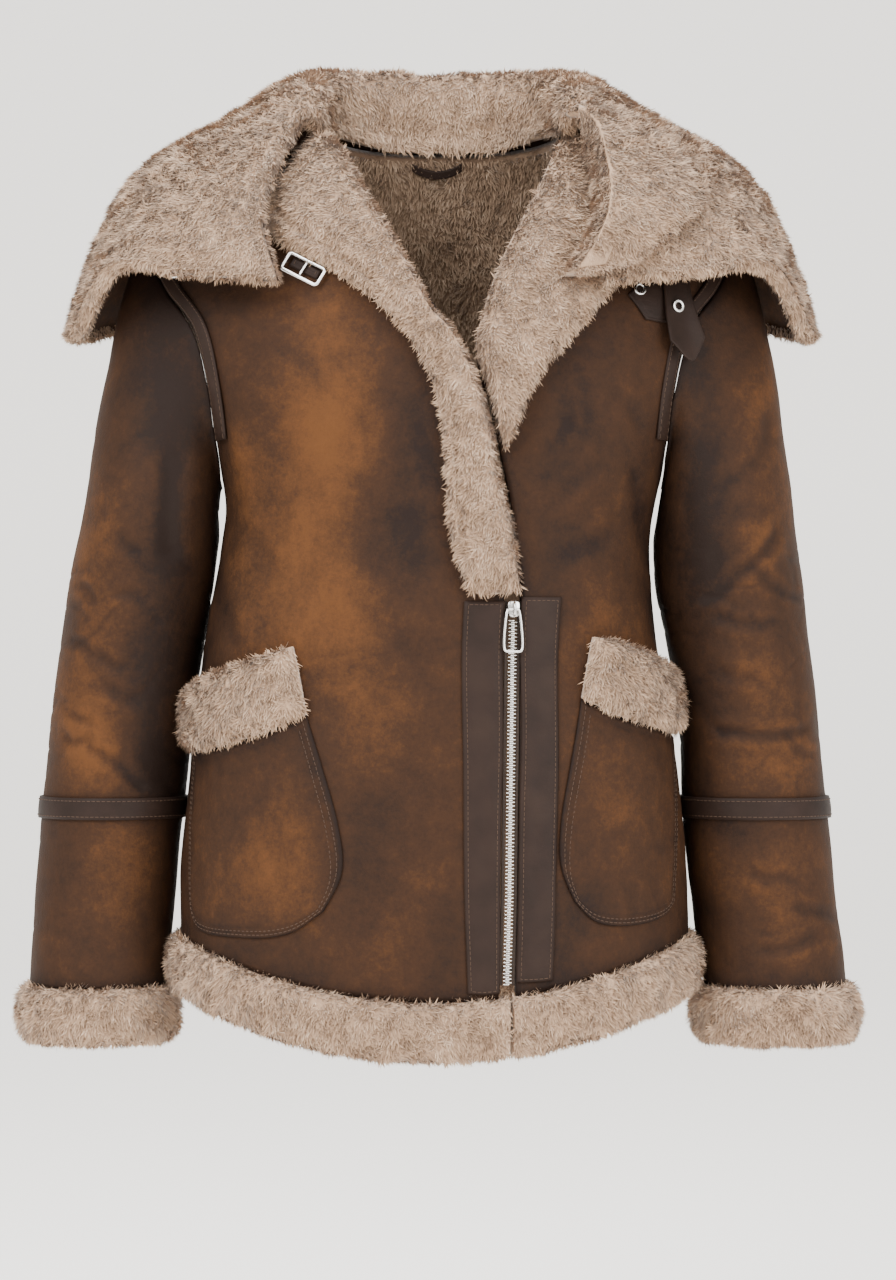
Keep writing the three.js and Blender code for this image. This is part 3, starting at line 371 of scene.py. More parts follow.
def front_panel(side):
    """A front: a patch of angle and row between the hem, the shoulder seam, the side seam with the armhole,
    and the zip with the roll line."""
    roll_line = ROLL_LINE_RIGHT if side < 0 else ROLL_LINE_LEFT
    step = np.linspace(0, 1, 221)
    row = panel_row(step)
    x = front_edge(side, roll_line, column(TORSO["z"], row))
    for _ in range(12):
        share = (x - column(TORSO["mid_x"], row)) / column(TORSO["half"], row)
        z = column(TORSO["z"], row) - column(TORSO["drop"], row) * share**2
        x = front_edge(side, roll_line, np.minimum(31, z))
    edge_angle = angle_at(row, x - column(TORSO["mid_x"], row))
    hem_angle = angle_at(np.zeros(1), front_edge(side, roll_line, np.array([-640.0])) - TORSO["mid_x"][0])[0]
    top_outer = angle_at(np.array([11.0]), np.array([side * 221.0]))[0]

    def centre(t):
        return np.stack([np.interp(t, step, edge_angle), panel_row(t)], axis=-1)

    def side_edge(t):
        rows = panel_row(t)
        return np.stack([armhole_angle(rows, side, False), rows], axis=-1)

    area = patch(
        lambda s: np.stack([lerp(side * math.pi / 2, hem_angle, s), s * 0], axis=-1),
        lambda s: np.stack([lerp(top_outer, edge_angle[-1], s), s * 0 + TOP_ROW], axis=-1),
        side_edge,
        centre,
    )

    def at(s, t, out):
        p = area(s, t)
        point = torso_point(p[..., 0], p[..., 1], out)
        point[..., 1] -= SEAM
        return point

    return at


def back_panel():
    """The back: a patch of angle and row between the hem, the neckline with the shoulder seams, and the two
    side seams with their armholes."""

    def top(s):
        x = lerp(-221.0, 221.0, s)
        share = np.clip(np.abs(x) / NECK_HALF, 0, 1)
        row = lerp(BACK_NECK_ROW, TOP_ROW, 1 - np.sqrt(1 - share**2.6))
        return np.stack([angle_at(row, x, True), row], axis=-1)

    def side_edge(side):
        def edge(t):
            row = panel_row(t)
            return np.stack([armhole_angle(row, side, True), row], axis=-1)

        return edge

    area = patch(
        lambda s: np.stack([lerp(1.5, 0.5, s) * math.pi, s * 0], axis=-1), top, side_edge(-1), side_edge(1)
    )

    def at(s, t, out):
        p = area(s, t)
        point = torso_point(p[..., 0], p[..., 1], out)
        point[..., 1] += SEAM
        return point

    return at


def sleeve_point(side, turn, w, out):
    """A point of a sleeve. turn 0 is its outer side, a quarter its front. w from 0 to 1 is a cubic from the
    armhole to the first ring of the table, and each whole number on from there is one ring."""
    turn, w, out = np.broadcast_arrays(*(np.asarray(v, dtype=float) for v in (turn, w, out)))
    rings = SLEEVES[side]
    a = turn * 2 * math.pi

    def ring_point(row):
        ring = {name: column(v, row) for name, v in rings.items()}
        return np.stack(
            [
                ring["x"] + side * (ring["half"] + out) * np.cos(a),
                ring["y"] - (ring["depth"] + out) * np.sin(a),
                ring["z"],
            ],
            axis=-1,
        )

    down = np.where(turn <= 0.5, turn * 2, (1 - turn) * 2)
    row = lerp(TOP_ROW, ARMPIT_ROW, down)
    angle = np.where(turn > 0.5, armhole_angle(row, side, True), armhole_angle(row, side, False))
    start = torso_point(angle, row, 0)
    torso_in = torso_point(angle, row, -1) - start
    start = start + np.array([side * 5 * SEAM, 0, 0])
    ring_in = np.stack([-side * np.cos(a), np.sin(a), 0 * a], axis=-1)
    turned = smooth((down - 0.35) / 0.4)
    inward = unit(lerp(torso_in, ring_in, turned[..., None]))
    start = start - inward * out[..., None]
    start[..., 2] -= turned * 1.5
    end = ring_point(np.zeros_like(a))
    reach = np.linalg.norm(start - end, axis=-1)
    leave = unit(np.stack([side * lerp(0.8, 0.95, down), 0 * a, -lerp(0.6, 0.3, down)], axis=-1))
    leave = leave * (reach * lerp(0.34, 0.22, down))[..., None]
    arrive = unit(ring_point(np.full_like(a, 0.02)) - end) * (reach * lerp(1.15, 0.7, down))[..., None]
    head = cubic(start, leave, end, arrive, np.clip(w, 0, 1)[..., None])
    return np.where((w >= 1)[..., None], ring_point(np.maximum(w - 1, 0)), head)


def sleeve_row(side, z):
    return 1 + float(row_where(SLEEVES[side]["z"], z))


def collar_middle(side, s, t):
    """The middle of the collar's wall: a cubic through the sections, s round the neck, t down the fall."""
    s, t = np.broadcast_arrays(np.asarray(s, dtype=float), np.asarray(t, dtype=float))
    sections = column(COLLAR.reshape(len(COLLAR), -1), s * (len(COLLAR) - 1)).reshape(*s.shape, 5, 3)
    k = np.clip(t * 4, 0, 4)
    i = np.minimum(np.floor(k).astype(int), 3)
    f = (k - i)[..., None]
    first = 2 * sections[..., :1, :] - sections[..., 1:2, :]
    last = 2 * sections[..., -1:, :] - sections[..., -2:-1, :]
    v = np.concatenate([first, sections, last], axis=-2)
    a, b, c, d = (np.take_along_axis(v, (i + n)[..., None, None], axis=-2)[..., 0, :] for n in range(4))
    return cubic(b, (c - a) / 2, c, (d - b) / 2, f) * np.array([-side, 1, 1])


def collar_point(side, s, t, out):
    """A point of the collar, out from the middle of its wall along the wall's normal."""
    s, t, out = np.broadcast_arrays(*(np.asarray(v, dtype=float) for v in (s, t, out)))
    near_s, near_t = np.clip(s, 0.01, 0.99), np.clip(t, 0.01, 0.99)
    along_s = collar_middle(side, near_s + 0.01, t) - collar_middle(side, near_s - 0.01, t)
    along_t = collar_middle(side, s, near_t + 0.01) - collar_middle(side, s, near_t - 0.01)
    normal = unit(np.cross(along_s, along_t)) * side
    point = collar_middle(side, s, t) + normal * out[..., None]
    point[..., 0] = np.where(s < 1e-9, -2 * side * SEAM, point[..., 0]) + side * SEAM
    return point


# Meshes.


def grid_faces(columns, rows, wrap_columns=False, wrap_rows=False):
    """The quads of a grid of points, row after row."""
    i = np.arange(columns if wrap_columns else columns - 1)
    j = np.arange(rows if wrap_rows else rows - 1)
    i, j = np.meshgrid(i, j)
    i, j = i.ravel(), j.ravel()
    a, b = (i + 1) % columns, (j + 1) % rows
    return np.stack([j * columns + i, j * columns + a, b * columns + a, b * columns + i], axis=-1)


def facing_out(points, faces):
    """Turns all the faces round if the closed mesh's volume comes out negative."""
    p = points[faces]
    volume = np.einsum("ij,ij->i", p[:, 0], np.cross(p[:, 1], p[:, 2])).sum()
    volume += np.einsum("ij,ij->i", p[:, 0], np.cross(p[:, 2], p[:, 3])).sum()
    return faces[:, ::-1] if volume < 0 else faces


def wall(outer, inner, wrap=False):
    """Points and quads of a closed wall between two grids of points, of shape rows, columns, 3. The rows
    wrap round where wrap is true. The third result is 0 outside, 1 inside and 2 on the rim."""
    rows, columns = outer.shape[:2]
    count = rows * columns
    points = np.concatenate([outer.reshape(-1, 3), inner.reshape(-1, 3)])
    face = grid_faces(columns, rows, wrap_columns=wrap)
    kinds = [np.zeros(len(face)), np.ones(len(face))]
    faces = [face, face[:, ::-1] + count]
    rim = np.arange(count).reshape(rows, columns)
    edges = [(rim[0], True), (rim[-1], False)]
    if wrap:
        edges = [(np.append(line, line[0]), turn) for line, turn in edges]
    else:
        edges += [(rim[:, 0], False), (rim[:, -1], True)]
    for line, turn in edges:
        quad = np.stack([line[:-1], line[:-1] + count, line[1:] + count, line[1:]], axis=-1)
        faces.append(quad if turn else quad[:, ::-1])
        kinds.append(np.full(len(quad), 2))
    return points, facing_out(points, np.concatenate(faces)), np.concatenate(kinds).astype(int)


def ring(section_points, closed=True):
    """Points and quads of a bar: a grid of stations along by points around. It closes on itself, or gets a
    rounded end from its last stations drawn in to their middle."""
    if not closed:
        first, last = section_points[:1], section_points[-1:]
        centre = [line.mean(axis=1, keepdims=True) for line in (first, last)]
        section_points = np.concatenate(
            [lerp(centre[0], first, 0.02), section_points, lerp(centre[1], last, 0.02)]
        )
    rows, columns = section_points.shape[:2]
    points = section_points.reshape(-1, 3)
    faces = grid_faces(columns, rows, wrap_columns=True, wrap_rows=closed)
    return points, facing_out(points, faces)


def merge(parts):
    """One set of points and quads from several."""
    points = np.concatenate([p for p, _ in parts])
    start = np.cumsum([0] + [len(p) for p, _ in parts[:-1]])
    return points, np.concatenate([f + s for (_, f), s in zip(parts, start)])


def make_object(name, points, faces, materials, kinds=None, numbers=()):
    """A mesh object at the origin, from points in millimetres. numbers are named values for each point."""
    mesh = bpy.data.meshes.new(name)
    sides = faces.shape[1]
    mesh.vertices.add(len(points))
    mesh.vertices.foreach_set("co", (points * MM).astype(np.float32).ravel())
    mesh.loops.add(faces.size)
    mesh.loops.foreach_set("vertex_index", faces.astype(np.int32).ravel())
    mesh.polygons.add(len(faces))
    mesh.polygons.foreach_set("loop_start", np.arange(0, faces.size, sides, dtype=np.int32))
    mesh.polygons.foreach_set("use_smooth", np.full(len(faces), True))
    for material in materials:
        mesh.materials.append(material)
    if kinds is not None:
        mesh.polygons.foreach_set("material_index", np.asarray(kinds, dtype=np.int32))
    for label, values in numbers:
        mesh.attributes.new(label, "FLOAT", "POINT").data.foreach_set("value", values.astype(np.float32))
    mesh.update(calc_edges=True)
    obj = bpy.data.objects.new(name, mesh)
    bpy.context.scene.collection.objects.link(obj)
    return obj


def wavy(points, size, seed, octaves=3):
    """A smooth noise of about -1 to 1: a sum of sine waves in fixed random directions, each octave finer."""
    dice = np.random.default_rng(seed + 100)
    total = np.zeros(points.shape[:-1])
    for octave in range(octaves):
        for _ in range(6):
            direction = unit(dice.normal(size=3))
            phase, stretch = dice.uniform(0, 2 * math.pi), dice.uniform(0.75, 1.3)
            wave = 2 * math.pi * 2**octave * stretch / size
            total += np.sin(points @ direction * wave + phase) / 2**octave / 4
    return total


def grid_normals(grid, inside):
    """Unit normals of a grid of points, turned to point away from the points named inside."""
    across, down = np.gradient(grid, axis=1), np.gradient(grid, axis=0)
    normal = unit(np.cross(across, down))
    return normal * (1 if ((grid - inside) * normal).sum() > 0 else -1)


def pile(grid, inside, share, length, width, lean, lay, seed, keep=None):
    """Hair on a surface, as one thin triangle to a tuft: points are spread over the grid by area, and each
    tuft leans from the surface's normal towards the lay direction, which wanders in clumps. Returns points,
    faces and how light each point is, dark at the root as painted shade deep in the pile."""
    dice = np.random.default_rng(seed)
    normal = grid_normals(grid, inside)
    a, b, c, d = grid[:-1, :-1], grid[:-1, 1:], grid[1:, 1:], grid[1:, :-1]
    area = np.linalg.norm(np.cross(c - a, d - b), axis=-1) / 2
    if keep is not None:
        area = area * keep[:-1, :-1]
    count = int(area.sum() * share)
    rows, columns = area.shape
    cell = dice.choice(area.size, size=count, p=(area / area.sum()).ravel())
    j, i = cell // columns, cell % columns
    u, v = dice.random((2, count, 1))

    def inside_cell(values):
        top = lerp(values[j, i], values[j, i + 1], u)
        return lerp(top, lerp(values[j + 1, i], values[j + 1, i + 1], u), v)

    root, up = inside_cell(grid), unit(inside_cell(normal))
    swirl = [wavy(root, 26, seed + k) + 0.6 * wavy(root, 8, seed + 9 + k) for k in range(3)]
    swirl = np.stack(swirl, axis=-1)
    direction = np.asarray(lay, dtype=float) + 0.75 * swirl + 0.35 * dice.normal(size=(count, 3))
    flat = unit(direction - (direction * up).sum(-1, keepdims=True) * up)
    tilt = np.radians(lean) * dice.uniform(0.65, 1.15, (count, 1))
    ahead = up * np.cos(tilt) + flat * np.sin(tilt)
    across = unit(np.cross(ahead, up)) * width / 2 * dice.uniform(0.7, 1.3, (count, 1))
    reach = length * dice.uniform(0.55, 1.1, (count, 1)) * (1 + 0.25 * wavy(root, 11, seed + 5))[:, None]
    tip = root + ahead * reach
    points = np.stack([root - across, root + across, tip], axis=1)
    light = 0.5 + 0.14 * wavy(root, 38, seed + 3) + 0.12 * wavy(root, 10, seed + 4)
    light = light + 0.12 * dice.normal(size=count)
    # Roots darker and tips lighter: painted shade deep in the pile.
    tones_with_root_shade = np.stack([light - 0.22, light - 0.22, light + 0.08], axis=1)
    return points.reshape(-1, 3), np.arange(3 * count).reshape(-1, 3), tones_with_root_shade.ravel()


# Materials. Each is made once and shared by the pieces that have it.


class Finish:
    """A node material with short calls to add and join its nodes."""

    def __init__(self, name):
        self.material = bpy.data.materials.get(name) or bpy.data.materials.new(name)
        self.material.use_nodes = True
        self.tree = self.material.node_tree
        self.tree.nodes.clear()
        self.shader = self.add("ShaderNodeBsdfPrincipled")
        output = self.add("ShaderNodeOutputMaterial")
        self.join(self.shader, "BSDF", output, "Surface")
        self.place = self.add("ShaderNodeTexCoord")

    def add(self, kind, **values):
        node = self.tree.nodes.new(kind)
        for name, value in values.items():
            if name in node.inputs:
                node.inputs[name].default_value = value
            else:
                setattr(node, name, value)
        return node

    def join(self, source, out, target, into):
        self.tree.links.new(source.outputs[out], target.inputs[into])

    def set(self, **values):
        for name, value in values.items():
            self.shader.inputs[name.replace("_", " ")].default_value = value

    def noise(self, size_mm, detail=3.0, rough=0.55, stretch=None, warp=0.0):
        """Noise with features of about a size in mm, in the part's own coordinates."""
        node = self.add("ShaderNodeTexNoise", Detail=detail, Roughness=rough, Distortion=warp)
        node.inputs["Scale"].default_value = 1 / (size_mm * MM)
        if stretch is None:
            self.join(self.place, "Object", node, "Vector")
        else:
            mapping = self.add("ShaderNodeMapping")
            mapping.inputs["Scale"].default_value = stretch
            self.join(self.place, "Object", mapping, "Vector")
            self.join(mapping, "Vector", node, "Vector")
        return node

    def mix_numbers(self, first, second, scale, first_out=0):
        """The first number plus a scale times how far the second, from 0 to 1, is from its middle."""
        node = self.add("ShaderNodeMath", operation="ADD")
        self.tree.links.new(first.outputs[first_out], node.inputs[0])
        scaled = self.add("ShaderNodeMath", operation="MULTIPLY_ADD")
        self.tree.links.new(second.outputs[0], scaled.inputs[0])
        scaled.inputs[1].default_value = scale
        scaled.inputs[2].default_value = -scale / 2
        self.tree.links.new(scaled.outputs[0], node.inputs[1])
        return node

    def ramp(self, source, stops, out=0):
        """Colours at positions from 0 to 1 along a number."""
        node = self.add("ShaderNodeValToRGB")
        ramp = node.color_ramp
        while len(ramp.elements) < len(stops):
            ramp.elements.new(0.5)
        for element, (position, colour) in zip(ramp.elements, stops):
            element.position = position
            element.color = (*colour, 1)
        self.tree.links.new(source.outputs[out], node.inputs["Fac"])
        return node

    def bump(self, source, height_mm, out=0, strength=1.0, under=None):
        node = self.add("ShaderNodeBump", Strength=strength, Distance=height_mm * MM)
        self.tree.links.new(source.outputs[out], node.inputs["Height"])
        if under is not None:
            self.join(under, "Normal", node, "Normal")
        return node


def hide_finish(colours):
    """Matt distressed hide: the tone attribute and three sizes of noise choose between dark, mid and tan."""
    f = Finish("hide")
    # The tone attribute carries painted light where the hide stands out and painted shade in creases and
    # along the sleeves' inner sides.
    tone = f.add("ShaderNodeAttribute", attribute_name="tone")
    cloudy = f.noise(46, detail=6, rough=0.62, warp=0.6)
    fine = f.noise(7, detail=5, rough=0.7)
    speckle = f.noise(2.4, detail=3, rough=0.75)
    number = f.mix_numbers(tone, cloudy, first_out="Fac", scale=0.5)
    number = f.mix_numbers(number, fine, scale=0.36)
    number = f.mix_numbers(number, speckle, scale=0.3)
    dark, mid, tan = colours.hide_dark_and_shade, colours.hide_mid, colours.hide_tan_and_light
    bright = [min(1, c * 1.25) for c in tan]
    ramp = f.ramp(number, [(0.12, dark), (0.42, mid), (0.68, tan), (0.95, bright)])
    f.join(ramp, "Color", f.shader, "Base Color")
    grain = f.noise(1.6, detail=4, rough=0.7)
    crackle = f.add("ShaderNodeTexVoronoi", Scale=210.0, Randomness=1.0)
    crackle.feature = "DISTANCE_TO_EDGE"
    f.join(f.place, "Object", crackle, "Vector")
    bump = f.bump(crackle, 0.35, out="Distance", strength=0.25)
    bump = f.bump(fine, 0.9, strength=0.45, under=bump)
    bump = f.bump(grain, 0.4, strength=0.5, under=bump)
    f.join(bump, "Normal", f.shader, "Normal")
    rough = f.add("ShaderNodeMapRange")
    f.tree.links.new(number.outputs[0], rough.inputs["Value"])
    rough.inputs["To Min"].default_value = 0.62
    rough.inputs["To Max"].default_value = 0.86
    f.join(rough, "Result", f.shader, "Roughness")
    f.set(Specular_IOR_Level=0.12)
    return f.material


def fur_finish(name, colours, shade_scale=1.0):
    """Shearling pile: colour from the tone attribute, dark at the root as painted shade and lighter to the
    tip, with soft clumps, and a pale sheen. The inside fur is a copy with every colour scaled darker, as
    painted shade.
    """
    f = Finish(name)
    tone = f.add("ShaderNodeAttribute", attribute_name="tone")
    clump = f.noise(12, detail=3)
    number = f.mix_numbers(tone, clump, first_out="Fac", scale=0.22)
    dark = [c * shade_scale for c in colours.fur_dark_and_root_shade]
    mid = [c * shade_scale for c in colours.fur_mid]
    light = [c * shade_scale for c in colours.fur_light]
    ramp = f.ramp(number, [(0.08, dark), (0.5, mid), (0.95, light)])
    f.join(ramp, "Color", f.shader, "Base Color")
    streak = f.noise(2.2, detail=3, rough=0.6, stretch=(1.0, 1.0, 0.35))
    bump = f.bump(streak, 1.6, strength=0.6)
    f.join(bump, "Normal", f.shader, "Normal")
    f.set(Roughness=0.9, Specular_IOR_Level=0.15, Sheen_Weight=0.25, Sheen_Roughness=0.5)
    return f.material


def strip_finish(colours):
    """Smooth dressed leather with a fine grain and long soft creases."""
    f = Finish("strip_leather")
    cloudy = f.noise(30, detail=4)
    dark = [c * 0.7 for c in colours.strip]
    light = [c * 1.35 for c in colours.strip]
    ramp = f.ramp(cloudy, [(0.25, dark), (0.75, light)])
    f.join(ramp, "Color", f.shader, "Base Color")
    creases = f.noise(5, detail=3, stretch=(0.6, 0.6, 1.6))
    grain = f.add("ShaderNodeTexVoronoi", Scale=900.0)
    f.join(f.place, "Object", grain, "Vector")
    bump = f.bump(creases, 0.5, strength=0.4)
    bump = f.bump(grain, 0.12, out="Distance", strength=0.35, under=bump)
    f.join(bump, "Normal", f.shader, "Normal")
    f.set(Roughness=0.58, Specular_IOR_Level=0.14)
    return f.material


def metal_finish(colours):
    """Polished nickel, a little worn."""
    f = Finish("nickel")
    worn = f.noise(3, detail=4)
    ramp = f.ramp(worn, [(0.3, [c * 0.8 for c in colours.nickel]), (0.7, colours.nickel)])
    f.join(ramp, "Color", f.shader, "Base Color")
    f.set(Metallic=1.0, Roughness=0.24)
    bump = f.bump(worn, 0.05, strength=0.2)
    f.join(bump, "Normal", f.shader, "Normal")
    return f.material


def plain_finish(name, colour, roughness, size_mm, height_mm):
    """Thread, tape or a plain cloth: one colour, a little uneven, over a fine weave."""
    f = Finish(name)
    uneven = f.noise(size_mm, detail=3)
    ramp = f.ramp(uneven, [(0.3, [c * 0.75 for c in colour]), (0.7, [min(1, c * 1.2) for c in colour])])
    f.join(ramp, "Color", f.shader, "Base Color")
    bump = f.bump(uneven, height_mm, strength=0.5)
    f.join(bump, "Normal", f.shader, "Normal")
    f.set(Roughness=roughness, Specular_IOR_Level=0.25)
    return f.material


# Creases, folds and the hide's tone, with painted light and shade, in millimetres as seen from the front.

FRONT_CREASES = table(
    "x z to_x to_z wide deep",
    [
        (-8, -150, 0, -215, 5, 0.7),
        (-16, -170, -6, -240, 6, 0.6),
        (-164, -190, -150, -286, 7, 1.2),
        (-150, -262, -118, -300, 6, 0.7),
        (-44, -335, 2, -388, 8, 0.6),
        (-100, -300, -70, -345, 7, 0.5),
        (-166, -300, -152, -356, 6, 1.0),
        (-60, -180, -52, -300, 10, 0.5),
        (-30, -410, -2, -470, 8, 0.5),
        (52, -232, 96, -190, 5, 0.9),
        (60, -262, 120, -220, 5, 0.8),
        (86, -185, 118, -212, 4, 0.7),
        (118, -160, 146, -190, 5, 0.8),
        (76, -300, 126, -268, 6, 0.7),
        (100, -152, 112, -196, 4, 0.6),
        (140, -225, 158, -300, 6, 1.2),
        (150, -300, 160, -350, 6, 0.8),
    ],
)
SLEEVE_CREASES = {
    -1: table(
        "x z to_x to_z wide deep",
        [
            (-270, -308, -254, -320, 4, 1.3),
            (-277, -348, -256, -360, 4, 1.4),
            (-256, -360, -233, -370, 4, 1.2),
            (-273, -400, -259, -414, 4, 1.2),
            (-280, -421, -261, -424, 4, 1.4),
            (-261, -424, -251, -436, 4, 1.4),
            (-251, -436, -217, -457, 4, 1.5),
            (-240, -313, -221, -320, 4, 1.0),
            (-200, -212, -198, -290, 7, 1.8),
            (-262, -262, -246, -250, 5, 1.0),
            (-236, -270, -226, -288, 5, 1.0),
            (-250, -385, -222, -395, 5, 1.0),
        ],
    ),
    1: table(
        "x z to_x to_z wide deep",
        [
            (192, -320, 228, -297, 4, 1.5),
            (228, -297, 249, -267, 4, 1.5),
            (228, -297, 268, -320, 4, 1.3),
            (203, -335, 249, -337, 4, 1.2),
            (203, -419, 272, -417, 4, 1.4),
            (253, -419, 275, -437, 4, 1.2),
            (208, -240, 236, -212, 5, 1.2),
            (236, -212, 246, -180, 5, 1.0),
            (214, -260, 240, -250, 5, 1.0),
            (205, -370, 240, -385, 5, 0.9),
            (262, -544, 296, -559, 4, 1.2),
            (235, -580, 280, -570, 4, 1.0),
            (230, -520, 262, -530, 4, 0.9),
        ],
    ),
}
# Tone patches on the front: x, z, width, height and tone change. The dark ones near x = ±200, along the
# sleeves' inner sides next to the body, are painted shade.
TONE_AND_SHADE_PATCHES = table(
    "x z wide tall tone",
    [
        (-78, -200, 34, 105, 0.42),
        (-88, -335, 40, 60, 0.3),
        (-118, -520, 40, 42, 0.24),
        (-152, -250, 22, 110, 0.12),
        (-18, -240, 20, 95, -0.24),
        (-40, -400, 30, 40, 0.14),
        (-58, -500, 22, 40, -0.2),
        (-10, -560, 30, 40, -0.12),
        (110, -235, 50, 85, -0.16),
        (120, -350, 34, 60, 0.12),
        (124, -480, 34, 60, 0.1),
        (88, -560, 34, 40, -0.16),
        (-200, -150, 36, 80, -0.28),
        (-258, -285, 22, 60, 0.26),
        (-200, -300, 22, 120, -0.24),
        (-262, -420, 30, 50, 0.26),
        (-236, -540, 34, 40, 0.2),
        (-214, -400, 16, 90, -0.2),
        (240, -220, 30, 80, 0.16),
        (196, -260, 18, 140, -0.3),
        (250, -410, 30, 60, 0.16),
        (260, -530, 34, 40, 0.12),
        (300, -330, 20, 40, -0.2),
    ],
)


def crease_depth(creases, x, z):
    """How far straight creases push a surface in: each is a soft groove with a low swelling along both
    sides, and it fades at its two ends."""
    depth = np.zeros(x.shape)
    for x0, z0, x1, z1, wide, deep in zip(*creases.values()):
        length = math.hypot(x1 - x0, z1 - z0)
        ahead = ((x - x0) * (x1 - x0) + (z - z0) * (z1 - z0)) / length
        bend = 2.2 * np.sin(ahead / length * 5 + x0)
        aside = ((x - x0) * (z1 - z0) - (z - z0) * (x1 - x0)) / length + bend
        ends = smooth((ahead + wide) / (2 * wide)) * smooth((length - ahead + wide) / (2 * wide))
        groove = np.exp(-((aside / wide) ** 2)) - 0.45 * np.exp(-(((np.abs(aside) - 2 * wide) / wide) ** 2))
        depth -= deep * groove * ends
    return depth


def wrinkles(points, size, seed, gap=0.0):
    """Thin sunken lines running three ways, bent by a slow noise and kept to some places by another. The
    result is 0 between lines and -1 in them."""
    dice = np.random.default_rng(seed)
    total = np.zeros(points.shape[:-1])
    for turn in (-35, 30, 75):
        lean = math.radians(turn + dice.uniform(-8, 8))
        direction = np.array([math.sin(lean), 0.35 * math.sin(lean), math.cos(lean)])
        phase = points @ direction * 2 * math.pi / size + 2.2 * wavy(points, size * 2.6, seed + turn, 2)
        line = np.exp(-((np.sin(phase / 2) / 0.16) ** 2))
        total += line * smooth(wavy(points, size * 2.2, seed + 7 + turn, 2) - gap + 0.3)
    return -np.minimum(total, 1.2)


def front_relief(points):
    """How far the fronts, and all that lies on them, stand out or in: listed creases and a slow swell, held
    flat along the zip and under the collar."""
    x, z = points[..., 0], points[..., 2]
    zip_x = np.interp(z, ZIP_LINE["z"], ZIP_LINE["x"])
    by_zip = np.where(z < -300, smooth((np.abs(x - zip_x) - 44) / 22), smooth((np.abs(x - zip_x) - 20) / 20))
    below_collar = smooth((-118 - z) / 30)
    swell = 0.9 * wavy(points, 120, 4, 2) + 0.22 * wavy(points, 26, 5, 2)
    return (crease_depth(FRONT_CREASES, x, z) + swell) * by_zip * below_collar


def back_relief(points):
    """The back's folds: long soft ones that fan down from the shoulders, and fine ones at the waist."""
    x, z = points[..., 0], points[..., 2]
    fan = np.sin(x / 26 + 0.8 * wavy(points, 160, 21, 2))
    fan = fan * smooth((-120 - z) / 160) * smooth((z + 640) / 120)
    waist = wrinkles(points, 46, 23, 0.35) * np.exp(-(((z + 300) / 110) ** 2))
    below_collar = smooth((-100 - z) / 40)
    return (1.1 * fan + 1.3 * waist + 0.7 * wavy(points, 110, 22, 2)) * below_collar


def sleeve_relief(side, points):
    """A sleeve's wrinkles: the ones listed for the front, and thin diagonal ones all round, most at the
    elbow. They fade at the armhole and the cuff."""
    x, y, z = points[..., 0], points[..., 1], points[..., 2]
    on_front = smooth((10 - y) / 30)
    placed = crease_depth(SLEEVE_CREASES[side], x, z) * on_front
    fine = wrinkles(points, 30, 31 + side) * (0.45 + 0.55 * np.exp(-(((z + 350) / 110) ** 2)))
    fade = smooth((-60 - z) / 90) * smooth((z + 612) / 25) * smooth(np.abs(z + 474) / 14)
    return (1.15 * placed + 0.9 * fine + 0.8 * wavy(points, 80, 35 + side, 2)) * fade


def hide_tone_and_shade(points, relief, rows_from_edge=None):
    """How tan the hide is, from 0, dark, to 1: patches listed for the front, the dark ones on the sleeves'
    inner sides being painted shade, lighter where it stands out and darker in creases as painted light and
    shade, and darker along its edges."""
    x, y, z = points[..., 0], points[..., 1], points[..., 2]
    tone = np.full(x.shape, 0.36)
    on_front = smooth((40 - y) / 60)
    # Tone patches; the dark ones on the sleeves' inner sides, next to the body, are painted shade.
    for x0, z0, wide, tall, amount in zip(*TONE_AND_SHADE_PATCHES.values()):
        tone += 0.8 * amount * np.exp(-(((x - x0) / wide) ** 2) - ((z - z0) / tall) ** 2) * on_front
    tone += (1 - on_front) * 0.16 * wavy(points, 150, 51, 2)
    # Painted light where the relief stands out and painted shade in creases.
    tone += np.clip(relief, -2, 1.2) * 0.1
    if rows_from_edge is not None:
        tone -= 0.2 * np.exp(-rows_from_edge / 7)
    return tone


# Pieces.


class Finishes:
    """The coat's materials, each made at its first use."""

    def __init__(self):
        self.made = {}

    def get(self, name):
        colours = bpy.context.scene.coat_colours
        makers = {
            "hide": lambda: hide_finish(colours),
            "fur": lambda: fur_finish("fur", colours),
            # The inside fur is the same fur with every colour scaled darker, as painted shade.
            "fur_inside_shaded": lambda: fur_finish("fur_inside_shaded", colours, 0.62),
            "strip_leather": lambda: strip_finish(colours),
            "nickel": lambda: metal_finish(colours),
            "tape": lambda: plain_finish("tape", colours.tape, 0.85, 1.2, 0.2),
            "thread": lambda: plain_finish("thread", colours.thread, 0.7, 0.8, 0.1),
        }
        if name not in self.made:
            self.made[name] = makers[name]()
        return self.made[name]


finishes = Finishes()


def settle(obj, nodes=(), body="root"):
    """Gives a piece its body and hides the nodes that it stands for."""
    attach(obj, body)
    if nodes:
        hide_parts(*nodes)
    return obj


def metal(name, mesh, node, body="root"):
    """A nickel piece from its points and quads."""
    settle(make_object(name, *mesh, [finishes.get("nickel")]), [node], body)


def cloth(name, outer, inner, materials, nodes, wrap=False, tone=None):
    """A thin piece of hide, leather or tape: a wall between two grids."""
    points, faces, kinds = wall(outer, inner, wrap)
    numbers = () if tone is None else [("tone", np.concatenate([tone.ravel(), tone.ravel()]))]
    kinds = np.minimum(kinds, len(materials) - 1)
    obj = make_object(name, points, faces, [finishes.get(m) for m in materials], kinds, numbers)
    return settle(obj, nodes)


